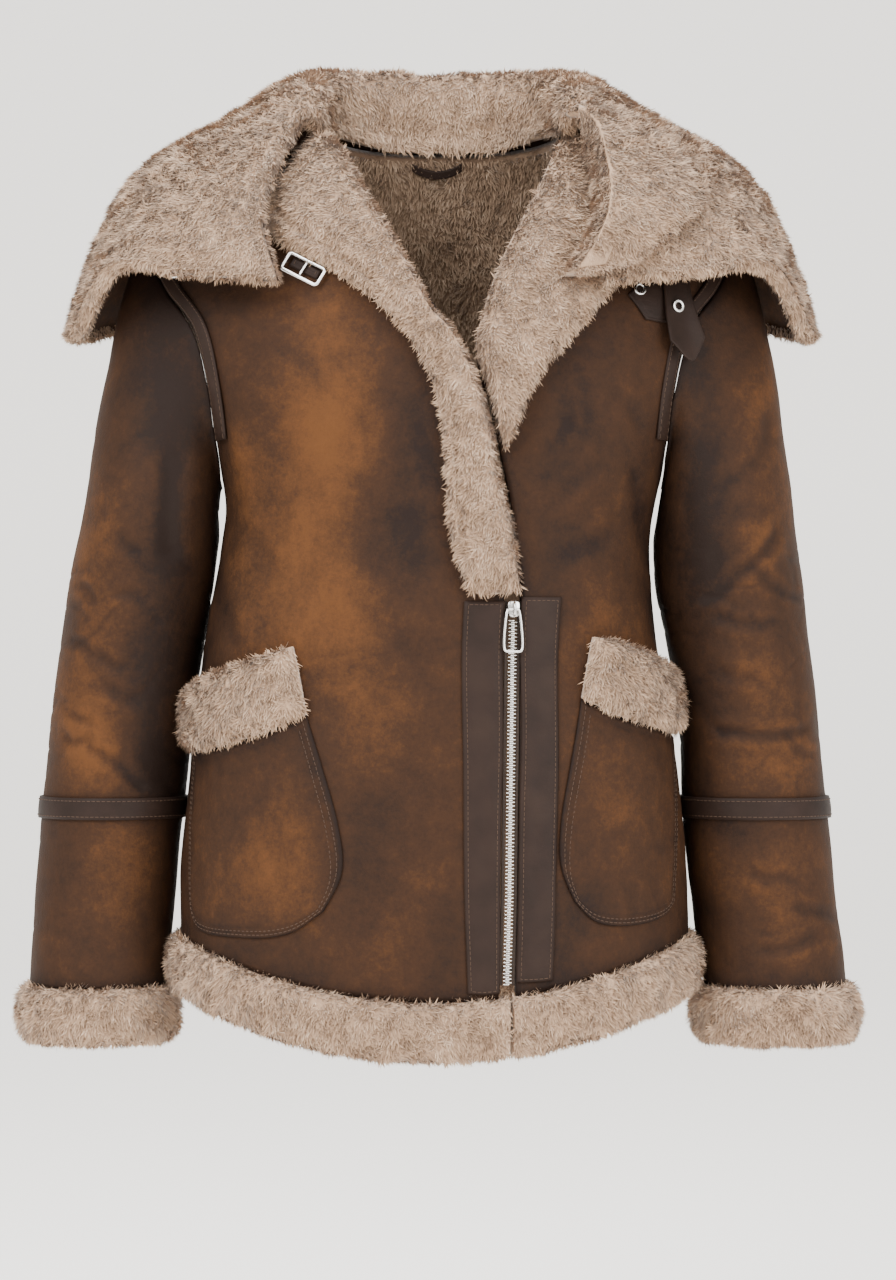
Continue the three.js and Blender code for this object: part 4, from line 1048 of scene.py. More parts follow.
def share_grid(columns, rows, low_s=0.0, high_s=1.0, low_t=0.0, high_t=1.0):
    s, t = np.meshgrid(np.linspace(low_s, high_s, columns), np.linspace(low_t, high_t, rows))
    return s, t


def edge_distance(grid, wrap=False):
    """Roughly how far each point of a grid is from the grid's edge, in millimetres."""
    down = np.linalg.norm(np.diff(grid, axis=0), axis=-1)
    from_top = np.concatenate([np.zeros((1, grid.shape[1])), np.cumsum(down, axis=0)])
    distance = np.minimum(from_top, from_top[-1] - from_top)
    if wrap:
        return distance
    over = np.linalg.norm(np.diff(grid, axis=1), axis=-1)
    from_left = np.concatenate([np.zeros((grid.shape[0], 1)), np.cumsum(over, axis=1)], axis=1)
    return np.minimum(distance, np.minimum(from_left, from_left[:, -1:] - from_left))


def hide_panel(name, at, relief_of, nodes, columns, rows, rim="hide"):
    """A panel of the body: its outer face has the relief, its inner face lies a skin's thickness in."""
    s, t = share_grid(columns, rows)
    base = at(s, t, 0)
    relief = relief_of(base)
    edge = edge_distance(base)
    relief = relief * smooth(edge / 6)
    tone = hide_tone_and_shade(base, relief, edge)
    outer, inner = at(s, t, relief), at(s, t, -SKIN + 0.5 * relief)
    # The inner face is the inside fur, painted darker as shade.
    return cloth(name, outer, inner, ["hide", "fur_inside_shaded", rim], nodes, tone=tone)


def on_front(area, out):
    """A point over the fronts at shares of an area, out from the hide's own relief."""

    def at(s, t, more=0.0):
        p = area(s, t)
        base = torso_point(p[..., 0], p[..., 1], 0)
        return torso_point(p[..., 0], p[..., 1], out + more + front_relief(base))

    return at


def build_panels():
    hide_panel("hide_front_right", front_panel(-1), front_relief, ["front_right"], 80, 160)
    hide_panel("hide_front_left", front_panel(1), front_relief, ["front_left"], 60, 160)
    # The back's rim shows the inside fur, painted darker as shade.
    hide_panel("hide_back", back_panel(), back_relief, ["back"], 100, 120, "fur_inside_shaded")


def sleeve_grid(side, low_w, high_w, columns, rows, out=0.0, follow=1.0):
    turn, w = np.meshgrid(np.arange(columns) / columns, np.linspace(low_w, high_w, rows))
    base = sleeve_point(side, turn, w, 0)
    relief = sleeve_relief(side, base)
    return sleeve_point(side, turn, w, out + relief * follow), base, relief


def build_sleeves():
    for side, word in ((-1, "right"), (1, "left")):
        split, end = sleeve_row(side, SLEEVE_SPLIT_Z), sleeve_row(side, SLEEVE_END_Z)
        for part, low, high, rows in (("upper", 0, split - 0.003, 130), ("lower", split + 0.003, end, 45)):
            outer, base, relief = sleeve_grid(side, low, high, SLEEVE_COLUMNS, rows)
            inner = sleeve_grid(side, low, high, SLEEVE_COLUMNS, rows, -SKIN, 0.5)[0]
            tone = hide_tone_and_shade(base, relief, edge_distance(base, True))
            # The inner face is the inside fur, painted darker as shade.
            cloth(
                f"hide_sleeve_{part}_{word}", outer, inner, ["hide", "fur_inside_shaded", "hide"],
                [f"sleeve_{part}_{word}"], True, tone,
            )
        low, high = sleeve_row(side, -466), sleeve_row(side, -482)
        outer = sleeve_grid(side, low, high, SLEEVE_COLUMNS, 8, REST + BAND_THICK)[0]
        crown = 0.35 * np.sin(np.linspace(0, 1, 8) * math.pi)[:, None, None]
        centre = outer.mean(axis=1, keepdims=True)
        outer = outer + unit((outer - centre) * [1, 1, 0]) * crown
        inner = sleeve_grid(side, low, high, SLEEVE_COLUMNS, 8, REST)[0]
        cloth(
            f"strip_sleeve_{word}", outer, inner, ["strip_leather"],
            [f"sleeve_band_{word}"], True,
        )


def curves(bottom, top, left, right):
    """A patch of the fronts from its four edges, each given as points in x, z."""
    return patch(through(bottom), through(top), through(left), through(right))


def pocket_areas():
    """The two pocket bags and their fur bands, as the photograph shows them."""
    right_top = [(-182, -431), (-160, -427), (-130, -417), (-97, -403)]
    left_top = [(101, -391), (125, -403), (150, -411), (169.5, -419)]
    return {
        "pocket_right": curves(
            [(-183, -545), (-177, -560), (-144, -565), (-110, -561), (-84, -544)],
            right_top,
            [(-183, -545), (-184, -490), (-182, -431)],
            [(-84, -544), (-71, -515), (-74, -482), (-85, -442), (-97, -403)],
        ),
        "pocket_left": curves(
            [(96, -538), (112, -553), (140, -556), (163, -550), (170, -541)],
            left_top,
            [(96, -538), (86, -512), (86, -482), (92, -445), (101, -391)],
            [(170, -541), (172, -495), (169.5, -419)],
        ),
        "pocket_fur_right": curves(
            right_top,
            [(-181, -384), (-155, -370), (-128, -361), (-106, -354)],
            [(-182, -431), (-184, -408), (-181, -384)],
            [(-97, -403), (-101, -380), (-106, -354)],
        ),
        "pocket_fur_left": curves(
            left_top,
            [(109, -347), (130, -351), (150, -360), (168, -372)],
            [(101, -391), (105, -369), (109, -347)],
            [(169.5, -419), (171, -396), (168, -372)],
        ),
    }


def placket_areas():
    return {
        "placket_right": curves(
            [(19, -603), (30, -604), (42, -603)],
            [(16.5, -321), (30, -321), (46, -321)],
            [(19, -603), (16, -464), (16.5, -321)],
            [(42, -603), (42.5, -536), (43.5, -464), (44.5, -392), (46, -321)],
        ),
        "placket_left": curves(
            [(54, -595), (67, -595), (80, -594)],
            [(58, -318), (72, -318), (87, -318)],
            [(54, -595), (55.5, -536), (56.5, -464), (57.5, -392), (58, -318)],
            [(80, -594), (84, -464), (87, -318)],
        ),
    }


def lapel_areas():
    return {
        "lapel_right": curves(
            [(20, -315), (38, -316), (56, -313)],
            [(-128, -22), (-108, 0), (-86, 24)],
            [
                (20, -315), (8, -278), (4, -230), (-11, -150), (-35, -114), (-72, -84), (-116, -60),
                (-128, -44), (-128, -22),
            ],
            [(56, -313), (50, -263), (36, -198), (17, -142), (-30, -65), (-57, -17), (-86, 24)],
        ),
        "lapel_left": curves(
            [(46, -212), (44, -206), (41.5, -196)],
            [(184, -44), (168, -14), (126, 8), (92, 24)],
            [(46, -212), (68, -163), (103, -118), (146, -74), (178, -50), (184, -44)],
            [(41.5, -196), (26, -142), (31, -110), (45, -71), (60, -40), (77, -4), (92, 24)],
        ),
    }


def eyelet_strap_areas():
    return {
        "eyelet_strap_lower": curves(
            [(136, -97), (143, -106), (149, -115)],
            [(152, -78), (162, -90), (171, -102)],
            [(136, -97), (145, -88), (152, -78)],
            [(149, -115), (166, -115.5), (171, -102)],
        ),
        "eyelet_strap_upper": curves(
            [(161, -86), (161, -108), (160, -131)],
            [(178, -76), (181, -102), (184, -124)],
            [(161, -86), (170, -82), (178, -76)],
            [(160, -131), (174, -142), (184, -124)],
        ),
    }


def rounded_edge(share, reach):
    """From 0 at a strip's two edges to 1 over a share of its width, as a quarter circle rises."""
    d = np.clip(np.minimum(share, 1 - share) / reach, 0, 1)
    return np.sqrt(1 - (1 - d) ** 2)


def flat_piece(
    name, area, lift, thick, materials, nodes, columns, rows, high_t=1.0, toned=False, groove=()
):
    """A thin piece sewn on a front. Its edges are rounded, and it sinks along lines of stitches at the given
    distances from its edges."""
    s, t = share_grid(columns, rows, high_t=high_t)
    at = on_front(area, lift)
    edge = edge_distance(at(s, t))
    top = thick * (0.55 + 0.45 * np.sqrt(1 - (1 - np.clip(edge / 1.6, 0, 1)) ** 2))
    for distance in groove:
        top = top - 0.55 * np.exp(-(((edge - distance) / 1.1) ** 2))
    top = top + 0.25 * wavy(at(s, t), 22, 61, 2) * smooth(edge / 8)
    p = area(s, t)
    tone = hide_tone_and_shade(torso_point(p[..., 0], p[..., 1], 0), top - thick, edge) if toned else None
    return cloth(name, at(s, t, top), at(s, t), materials, nodes, tone=tone)


def build_pockets():
    for node, area in pocket_areas().items():
        if "fur" not in node:
            flat_piece(
                node.replace("pocket", "hide_pocket"), area, REST, POCKET_THICK, ["hide"], [node],
                60, 76, 0.994, True, (3.5, 7.5),
            )


def strip_angle(side, row, s, on_back):
    """The angle of a point of an armhole strip, a share s of its width in from the armhole."""
    x = side * column(ARMHOLE["back" if on_back else "front"], np.maximum(row - ARMPIT_ROW, 0))
    return angle_at(row, x - side * (STRIP_WIDTH * s + STRIP_IN), on_back)


def build_strips():
    for node, area in placket_areas().items():
        flat_piece(
            "strip_" + node, area, REST, BAND_THICK, ["strip_leather"], [node], 14, 120,
            groove=(3.0,),
        )
    for node, area in eyelet_strap_areas().items():
        is_upper = "upper" in node
        s, t = share_grid(34, 24)
        lift = REST + STRAP_THICK + 0.9 + 9 * s**2 if is_upper else REST
        p = area(s, t)
        low, high = (torso_point(p[..., 0], p[..., 1], lift + k * STRAP_THICK) for k in (0, 1))
        edge = edge_distance(low)
        sunk = -0.3 * np.exp(-(((edge - 2.6) / 0.8) ** 2)) - 0.5 * (1 - smooth(edge / 1.2))
        high = high + unit(high - low) * sunk[..., None]
        cloth("strip_" + node, high, low, ["strip_leather"], [node])
    for side, word in ((-1, "right"), (1, "left")):
        t, s = np.meshgrid(np.linspace(0, 1, 130), np.linspace(0, 1, 8))
        down = np.abs(t - 0.5) * 2
        row = lerp(TOP_ROW, 5.5, down)
        faces = []
        for out in (STRIP_LIFT, STRIP_LIFT + BAND_THICK):
            points = np.zeros(t.shape + (3,))
            for on_back in (False, True):
                angle = strip_angle(side, row, s, on_back)
                crown = 0.5 * np.sin(s * math.pi) - 0.35 if out > 2 else 0
                chosen = torso_point(angle, row, out + crown)
                points = np.where(((t > 0.5) == on_back)[..., None], chosen, points)
            faces.append(points)
        cloth(
            f"strip_armhole_{word}", faces[1], faces[0], ["strip_leather"],
            [f"armhole_strip_{word}"],
        )


def build_hanger():
    """The hanger loop: a strip that sags a little between its two ends inside the back of the neck."""
    s, t = share_grid(60, 10)
    x = lerp(-23.0, 16.0, s)
    sag = 1 - ((x + 3.5) / 19.5) ** 2
    angle, row = locate(x, 18 - 6 * sag + lerp(-3, 3, t), True)
    outs = [-SKIN - REST - off - 1.2 * sag for off in (0, BAND_THICK)]
    back, front = (torso_point(angle, row, out) for out in outs)
    cloth("strip_hanger_loop", front, back, ["strip_leather"], ["hanger_loop"])


# Fur: a padded base with soft clumps, and a pile of fine tufts on it.


def clumps(points, seed):
    return 0.75 * wavy(points, 24, seed, 2) + 0.4 * wavy(points, 9, seed + 1, 2)


def fur_base(name, points, faces, kinds, tone, nodes, materials=("fur",)):
    kinds = np.minimum(kinds, len(materials) - 1) if kinds is not None else None
    obj = make_object(name, points, faces, [finishes.get(m) for m in materials], kinds, [("tone", tone)])
    return settle(obj, nodes)


def add_pile(name, grid, inside, lay, seed, share=1.0, length=1.0, lean=56.0, keep=None, material="fur"):
    """Tufts on a grid, with the scene's own density, length and width."""
    sizes = bpy.context.scene.coat_sizes
    density, width = sizes.pile_density * share, sizes.tuft_width / MM
    points, faces, tone = pile(
        grid, inside, density, sizes.pile_length / MM * length, width, lean, lay, seed, keep
    )
    obj = make_object(name, points, faces, [finishes.get(material)], numbers=[("tone", tone)])
    return settle(obj)


def pad_piece(name, area, thick, reach_s, reach_t, nodes, columns, rows, lay, seed, groove=None, more=()):
    """A fur piece that lies on a front, thick in the middle and thin at its edges, and its pile. more holds
    the two faces of each further part of the same piece."""
    s, t = share_grid(columns, rows)
    at = on_front(area, REST)
    swell = np.maximum(0.25, np.minimum(rounded_edge(s, reach_s), rounded_edge(t, reach_t)))
    if groove is not None:
        swell = swell - 0.3 * np.exp(-(((s - groove) / 0.05) ** 2)) * rounded_edge(t, 0.1)
    flat = at(s, t)
    outer = at(s, t, thick * swell + clumps(flat, seed) * smooth(swell))
    points, faces = merge([wall(*pair)[:2] for pair in [(outer, flat), *more]])
    tone = 0.46 + 0.1 * wavy(points, 30, seed)
    fur_base("fur_" + name, points, faces, None, tone, nodes)
    add_pile("pile_" + name, outer, flat, lay, seed)


def corner_point(s, t, out):
    """A point over the fall of the collar's left half, carried straight on past its front end."""
    s, t, out = np.broadcast_arrays(*(np.asarray(v, dtype=float) for v in (s, t, out)))
    ahead = collar_point(1, 1, t, out) - collar_point(1, 0.98, t, out)
    return collar_point(1, np.minimum(s, 1), t, out) + ahead * (np.maximum(s - 1, 0) / 0.02)[..., None]


def corner_area():
    """The left lapel's corner, which lies over the collar, in shares of the collar round and down."""
    scale = np.array([380.0, 190.0])

    def curve(*points):
        line, length = smooth_line(np.array(points) * scale)
        return lambda t: along(line / scale, length, np.clip(t, 0, 1))

    return patch(
        curve((0.97, 0.985), (BRIDGE_END, 0.985)),
        curve((0.735, 0.69), (0.72, 0.52), (0.86, 0.36), (BRIDGE_END, 0.25)),
        curve((0.97, 0.985), (0.9, 0.87), (0.79, 0.76), (0.735, 0.69)),
        curve((BRIDGE_END, 0.985), (BRIDGE_END, 0.6), (BRIDGE_END, 0.25)),
    )


def corner_faces(seed):
    """The two faces of the lapel's corner, and of the turn that leads from it down to the lapel."""
    a, b = share_grid(36, 42)
    p = corner_area()(a, b)
    flat = corner_point(p[..., 0], p[..., 1], CORNER_OFF)
    swell = np.maximum(0.5, np.minimum(rounded_edge(np.minimum(a, 0.5), 0.3), rounded_edge(b, 0.3)))
    out = CORNER_OFF + CORNER_THICK * swell + clumps(flat, seed) * smooth(swell)
    outer = corner_point(p[..., 0], p[..., 1], out)
    u, v = share_grid(32, 12)
    out = lerp(CORNER_OFF + 0.8 * CORNER_THICK, -BRIDGE_IN, v)
    down = lerp(0.3, 0.97, u)
    front = corner_point(BRIDGE_END + 0.014 * np.sin(v * math.pi), down, out)
    return (outer, flat), (front, corner_point(BRIDGE_START, down, out))


def build_lapels():
    areas = lapel_areas()
    pad_piece(
        "lapel_right", areas["lapel_right"], LAPEL_THICK, 0.22, 0.06, ["lapel_right"], 26, 90,
        (-0.5, -0.2, -1.0), 71, 0.16,
    )
    lay, seed = (0.5, -0.2, -1.0), 73
    flap, turn = corner_faces(seed)
    pad_piece(
        "lapel_left", areas["lapel_left"], LAPEL_THICK, 0.22, 0.08, ["lapel_left"], 38, 76, lay, seed,
        more=(flap, turn),
    )
    add_pile("pile_corner", *flap, lay, seed + 50)
    add_pile("pile_corner_turn", *turn, lay, seed + 51)
    edges = {"top": lambda g: g, "foot": lambda g: g[::-1], "side": lambda g: g[:, ::-1].swapaxes(0, 1)}
    for number, (word, turned) in enumerate(edges.items()):
        grid, middle = rim_grid(*(turned(face) for face in flap))
        add_pile("pile_corner_" + word, grid, middle, lay, seed + 52 + number, share=1.1, length=0.9)


def build_pocket_fur():
    areas = pocket_areas()
    for name, seed in (("pocket_fur_right", 75), ("pocket_fur_left", 77)):
        pad_piece(
            name.replace("pocket_fur", "pocket"), areas[name], FUR_BAND_THICK, 0.12, 0.25, [name], 40, 24,
            (0.1, -0.2, -1.0), seed,
        )


def rim_grid(outer, inner, rows=3, steps=7, bulge=0.35):
    """The surface round a wall's last row, from a few rows back on one face to a few back on the other: the
    edge between them is half round, and stands ahead by a share of the wall's half thickness."""
    middle, half = (outer[-1] + inner[-1]) / 2, (outer[-1] - inner[-1]) / 2
    ahead = unit(outer[-1] - outer[-3]) * np.linalg.norm(half, axis=-1, keepdims=True) * bulge
    a = np.linspace(0, math.pi, steps)[:, None, None]
    turn = middle + np.cos(a) * half + np.sin(a) * ahead
    grid = np.concatenate([outer[-rows:-1], turn, inner[-2:-rows:-1]])
    back = np.broadcast_to((outer[-rows] + inner[-rows]) / 2, grid.shape)
    return grid, back


def build_collar():
    """The two halves of the collar: fur on the side that faces the neck and then out, hide on the other."""
    for side, word, seed in ((-1, "right", 81), (1, "left", 83)):
        s, t = share_grid(80, 56)
        taper = lerp(8 / 18, 1.0, smooth(t / 0.2))
        d = np.clip(np.minimum((1 - t) / 0.09, (1 - s) / 0.06), 0, 1)
        half = COLLAR_THICK / 2 * np.minimum(taper, np.maximum(0.62, np.sqrt(1 - (1 - d) ** 2)))
        inner = collar_point(side, s, t, -half)
        swell = clumps(collar_middle(side, s, t), seed) * 1.5 * smooth(t / 0.2) * smooth(d)
        outer = collar_point(side, s, t, half + swell * smooth(s / 0.05))
        points, faces, kinds = wall(outer, inner)
        kinds = np.where(kinds == 1, 1, 0)
        tone = 0.46 + 0.1 * wavy(points, 34, seed)
        fur_base("fur_collar_" + word, points, faces, kinds, tone, ["collar_" + word], ("fur", "hide"))
        lay = (side * 0.35, -0.1, -1.0)
        add_pile("pile_collar_" + word, outer, inner, lay, seed, share=0.95)
        add_pile("pile_collar_seam_" + word, outer[:4], inner[:4], (0, -0.5, -1), seed + 45, 1.4, 1.7, 70)
        for end, turned in (("edge", lambda grid: grid), ("end", lambda grid: grid.swapaxes(0, 1))):
            grid, middle = rim_grid(turned(outer), turned(inner))
            add_pile(f"pile_collar_{end}_{word}", grid, middle, lay, seed + 40, share=1.1, length=0.9)


def roll_grid(place, stations, around, closed):
    """A roll's points: station after station along it, and round a section with squarish corners."""
    a = np.arange(around) / around * 2 * math.pi
    a, t = np.meshgrid(a, np.linspace(0, 1, stations, endpoint=not closed))

    def rounded(v):
        return np.sign(v) * np.abs(v) ** 0.7

    return place(t, rounded(np.cos(a)), rounded(np.sin(a)))


def roll_piece(name, place, stations, closed, nodes, lay, seed, share=1.0):
    middle, reach = (ROLL_OUT - ROLL_IN) / 2, (ROLL_OUT + ROLL_IN) / 2
    grid = roll_grid(lambda t, side, up: place(t, middle + reach * side, up), stations, 26, closed)
    core = grid.mean(axis=1, keepdims=True)
    grid = grid + unit(grid - core) * clumps(grid, seed)[..., None]
    points, faces = ring(grid, closed)
    tone = 0.46 + 0.1 * wavy(points, 30, seed)
    fur_base("fur_" + name, points, faces, None, tone, nodes)
    wrapped = np.concatenate([grid, grid[:, :1]], axis=1)
    if closed:
        wrapped = np.concatenate([wrapped, wrapped[:1]])
        core = np.concatenate([core, core[:1]])
    add_pile("pile_" + name, wrapped, np.broadcast_to(core, wrapped.shape), lay, seed, share)


def build_hem():
    zip_angle = float(angle_at(np.array([0.0]), np.array([55.0]))[0])
    spans = {
        "right": (-math.pi / 2 + 0.003, zip_angle - 0.008, 120, 85),
        "left": (zip_angle + 0.008, math.pi / 2 - 0.003, 72, 87),
        "back": (math.pi / 2 + 0.003, 1.5 * math.pi - 0.003, 170, 89),
    }
    for word, (start, stop, stations, seed) in spans.items():

        def place(t, out, up, start=start, stop=stop):
            angle = lerp(start, stop, t)
            point = torso_point(angle, np.zeros_like(t), out)
            top = torso_point(angle, np.zeros_like(t), -SKIN / 2)[..., 2]
            point[..., 2] = top - 0.5 - HEM_ROLL_HEIGHT / 2 * (1 - up)
            return point

        roll_piece("hem_" + word, place, stations, False, ["hem_fur_" + word], (0.25, 0, -1.0), seed, 0.75)


def build_cuffs():
    for side, word, seed in ((-1, "right", 91), (1, "left", 93)):
        end = sleeve_row(side, SLEEVE_END_Z)

        def place(t, out, up, side=side, end=end):
            point = sleeve_point(side, t, np.full_like(t, end), out)
            point[..., 2] = SLEEVE_END_Z - 0.3 - CUFF_ROLL_HEIGHT / 2 * (1 - up)
            return point

        roll_piece("cuff_" + word, place, 90, True, ["cuff_fur_" + word], (side * 0.2, 0, -1.0), seed, 0.85)


def build_lining_pile():
    """The short fur inside the back, down from the neck, where the opening shows it, painted darker as
    shade.
    """
    s, t = share_grid(60, 50, 0.1, 0.9, 0.45, 1.0)
    at = back_panel()
    grid = at(s, t, -SKIN - 0.1)
    lay, seed = (0, 0, -1.0), 97
    add_pile("pile_back_lining", grid, at(s, t, 0), lay, seed, 0.85, 0.95, material="fur_inside_shaded")


# Zip, buckles, eyelets and stitches.


def zip_point(across, z, out):
    """A point beside the zip's middle line, at a height and a distance out from the fronts' surface."""
    x = np.interp(z, ZIP_LINE["z"], ZIP_LINE["x"]) + across
    angle, row = locate(x, z)
    return torso_point(angle, row, out)


def build_tapes():
    """The tape on each side of the chain."""
    for side, word in ((-1, "right"), (1, "left")):
        s, t = share_grid(6, 130)
        across = side * lerp(3.6, 5.7, s)
        z = lerp(ZIP_BOTTOM_Z, -321.0, t)
        faces = [zip_point(across, z, np.full_like(s, out)) for out in (-1.0, -3.0)]
        cloth("tape_zip_" + word, faces[0], faces[1], ["tape"], ["zip_tape_" + word])


def build_teeth():
    """The chain: one tooth after another, from the right tape and the left by turns, with rounded ends."""
    pitch, half_long, half_deep = 1.32, 0.5, 1.25
    heights = np.arange(ZIP_BOTTOM_Z + 0.6, -334.6, pitch)
    stations = np.array([-3.2, -2.9, -1.2, 0.6, 1.35, 1.5])
    scale = np.array([0.7, 1.0, 0.92, 1.12, 0.95, 0.45])
    a = np.arange(10) / 10 * 2 * math.pi
    round_a = np.sign(np.cos(a)) * np.abs(np.cos(a)) ** 0.6
    round_b = np.sign(np.sin(a)) * np.abs(np.sin(a)) ** 0.6
    side = np.where(np.arange(len(heights)) % 2 == 0, 1.0, -1.0)[:, None, None]
    shape = (len(heights), len(stations), len(a))
    across = np.broadcast_to(side * stations[None, :, None], shape)
    z = heights[:, None, None] + half_long * scale[None, :, None] * round_a[None, None, :]
    out = -0.35 + half_deep * scale[None, :, None] * round_b[None, None, :]
    points = zip_point(across, np.broadcast_to(z, shape), np.broadcast_to(out, shape))
    parts = [ring(tooth, closed=False) for tooth in points]
    metal("zip_chain", merge(parts), "zip_teeth")


class Place:
    """A flat place over the fronts: a centre, two directions in the surface and one out of it."""

    def __init__(self, x, z, out, turn=0.0):
        outward = np.zeros(3)
        for _ in range(4):
            angle, row = locate(np.array([x - outward[0] * out]), np.array([z - outward[2] * out]))
            centre = torso_point(angle, row, 0)[0]
            outward = unit(torso_point(angle, row, 1)[0] - centre)
        level = unit(np.array([1.0, 0, 0]) - outward * outward[0])
        upright = -np.cross(outward, level)
        if upright[2] < 0:
            upright = -upright
        self.right = level * math.cos(turn) + upright * math.sin(turn)
        self.up = upright * math.cos(turn) - level * math.sin(turn)
        self.out = outward
        self.centre = centre + outward * out

    def point(self, across, along_it, off):
        parts = [np.asarray(v, dtype=float)[..., None] for v in (across, along_it, off)]
        return self.centre + self.right * parts[0] + self.up * parts[1] + self.out * parts[2]


def wire(place, path, radius, closed, flatness=1.0, around=14):
    """A round wire along a path of across, along and off values at a place."""
    path = np.array(path, dtype=float)
    if closed:
        ahead = np.roll(path, -1, axis=0) - np.roll(path, 1, axis=0)
    else:
        ahead = np.gradient(path, axis=0)
    ahead = unit(ahead)
    beside = unit(np.cross(ahead, np.array([0.0, 0.0, 1.0]) + 1e-6))
    over = np.cross(beside, ahead)
    a = np.arange(around) / around * 2 * math.pi
    section = (
        path[:, None]
        + beside[:, None] * (radius * np.cos(a))[None, :, None]
        + over[:, None] * (radius * flatness * np.sin(a))[None, :, None]
    )
    return ring(place.point(section[..., 0], section[..., 1], section[..., 2]), closed)


def rounded_outline(corners, steps=10):
    """A closed smooth outline through corners given as across, along."""
    line, _ = smooth_line(corners, closed=True, steps=steps)
    return np.concatenate([line[:-1], np.zeros((len(line) - 1, 1))], axis=1)


def rectangle(half_wide, half_tall, turn_radius=2.4, steps=7):
    """A closed outline of a rectangle with round corners, as across, along and off."""
    a = np.linspace(0, math.pi / 2, steps)
    points = []
    for k, (sx, sz) in enumerate(((1, 1), (-1, 1), (-1, -1), (1, -1))):
        cx, cz = sx * (half_wide - turn_radius), sz * (half_tall - turn_radius)
        turn = a + k * math.pi / 2
        points += [(cx + turn_radius * math.cos(v), cz + turn_radius * math.sin(v), 0.0) for v in turn]
    return points


BUCKLES = {
    "outer": {"x": -186, "z": -72, "turn": -0.09, "half": (15.5, 7.5), "strap_end": 28, "rest": 0.75},
    "inner": {"x": -100.5, "z": -78.5, "turn": -0.545, "half": (15.5, 7.0), "strap_end": 5.2, "rest": 0.4},
}
WIRE = 1.5


def build_buckles():
    """Two buckles, each with a frame, a prong on a body of its own and a strap behind."""
    for word, b in BUCKLES.items():
        lift = b["rest"] + STRAP_THICK + WIRE + 0.3
        place = Place(b["x"], b["z"], lift, b["turn"])
        metal("metal_buckle_" + word, wire(place, rectangle(*b["half"]), WIRE, True), "buckle_" + word)
        reach = b["half"][1] - 1.8
        path = [(0, lerp(reach, -reach, k), 0.12 * math.sin(k * math.pi)) for k in np.linspace(0, 1, 12)]
        prong = wire(place, path, 1.0, False)
        metal("metal_prong_" + word, prong, "buckle_prong_" + word, "prong_" + word)
        s, t = share_grid(24, 30)
        across, along_it = lerp(-12.0, 12.0, s), lerp(-2.0, b["strap_end"], t)
        low = place.point(across, along_it, b["rest"] - lift + 0 * s)
        edge = edge_distance(low)
        high_out = b["rest"] + STRAP_THICK - lift - 0.5 * (1 - smooth(edge / 1.2))
        high_out = high_out - 0.3 * np.exp(-(((edge - 2.8) / 0.8) ** 2))
        cloth(
            "strip_buckle_" + word, place.point(across, along_it, high_out), low, ["strip_leather"],
            ["buckle_strap_" + word],
        )


def build_eyelets():
    lower_out = REST + STRAP_THICK + 1.2
    upper_out = REST + STRAP_THICK + 0.9 + STRAP_THICK + 3.05
    for word, x, z, out in (("lower", 145.5, -92, lower_out), ("upper", 174, -104, upper_out)):
        a = np.arange(40) / 40 * 2 * math.pi
        path = np.stack([3.8 * np.cos(a), 3.8 * np.sin(a), 0 * a], axis=-1)
        metal("metal_eyelet_" + word, wire(Place(x, z, out), path, 1.2, True, 0.6), "eyelet_" + word)


def build_slider():
    """The slider's body, wider at the top than at the bottom, its bail, and the pull tab on its own body."""
    place = Place(52, -327, 0)
    a = np.linspace(0, 2 * math.pi, 48, endpoint=False)
    round_a = np.sign(np.cos(a)) * np.abs(np.cos(a)) ** 0.55
    round_b = np.sign(np.sin(a)) * np.abs(np.sin(a)) ** 0.55
    levels = np.array([-0.5, -0.2, 1.2, 2.6, 3.2, 3.4])
    scale = np.array([0.9, 0.97, 1.0, 0.97, 0.9, 0.8])
    across = 4.5 * scale[:, None] * round_a[None] * (1 + 0.12 * round_b[None])
    along_it = 0.25 + 6.2 * scale[:, None] * round_b[None]
    body = ring(place.point(across, along_it, np.broadcast_to(levels[:, None], across.shape)), closed=False)
    corners = [(-4.4, 2.4), (-4.2, 5.6), (-2.4, 7.0), (2.4, 7.0), (4.2, 5.6), (4.4, 2.4)]
    line, _ = smooth_line(corners, steps=8)
    bail = wire(place, np.stack([0 * line[:, 0], line[:, 0], line[:, 1]], axis=-1), 0.95, False)
    metal("metal_slider", merge([body, bail]), "zip_slider")
    outline = [
        (3.6, 0), (0, 0.1), (-3.6, 0), (-4.4, -1.2), (-6.6, -28), (-5.4, -30), (0, -30.4), (5.4, -30),
        (6.6, -28), (4.4, -1.2),
    ]
    pull = wire(Place(52, -327, 4.95), rounded_outline(outline), 1.0, True, 0.8)
    metal("metal_pull", pull, "zip_pull", "zip_pull")


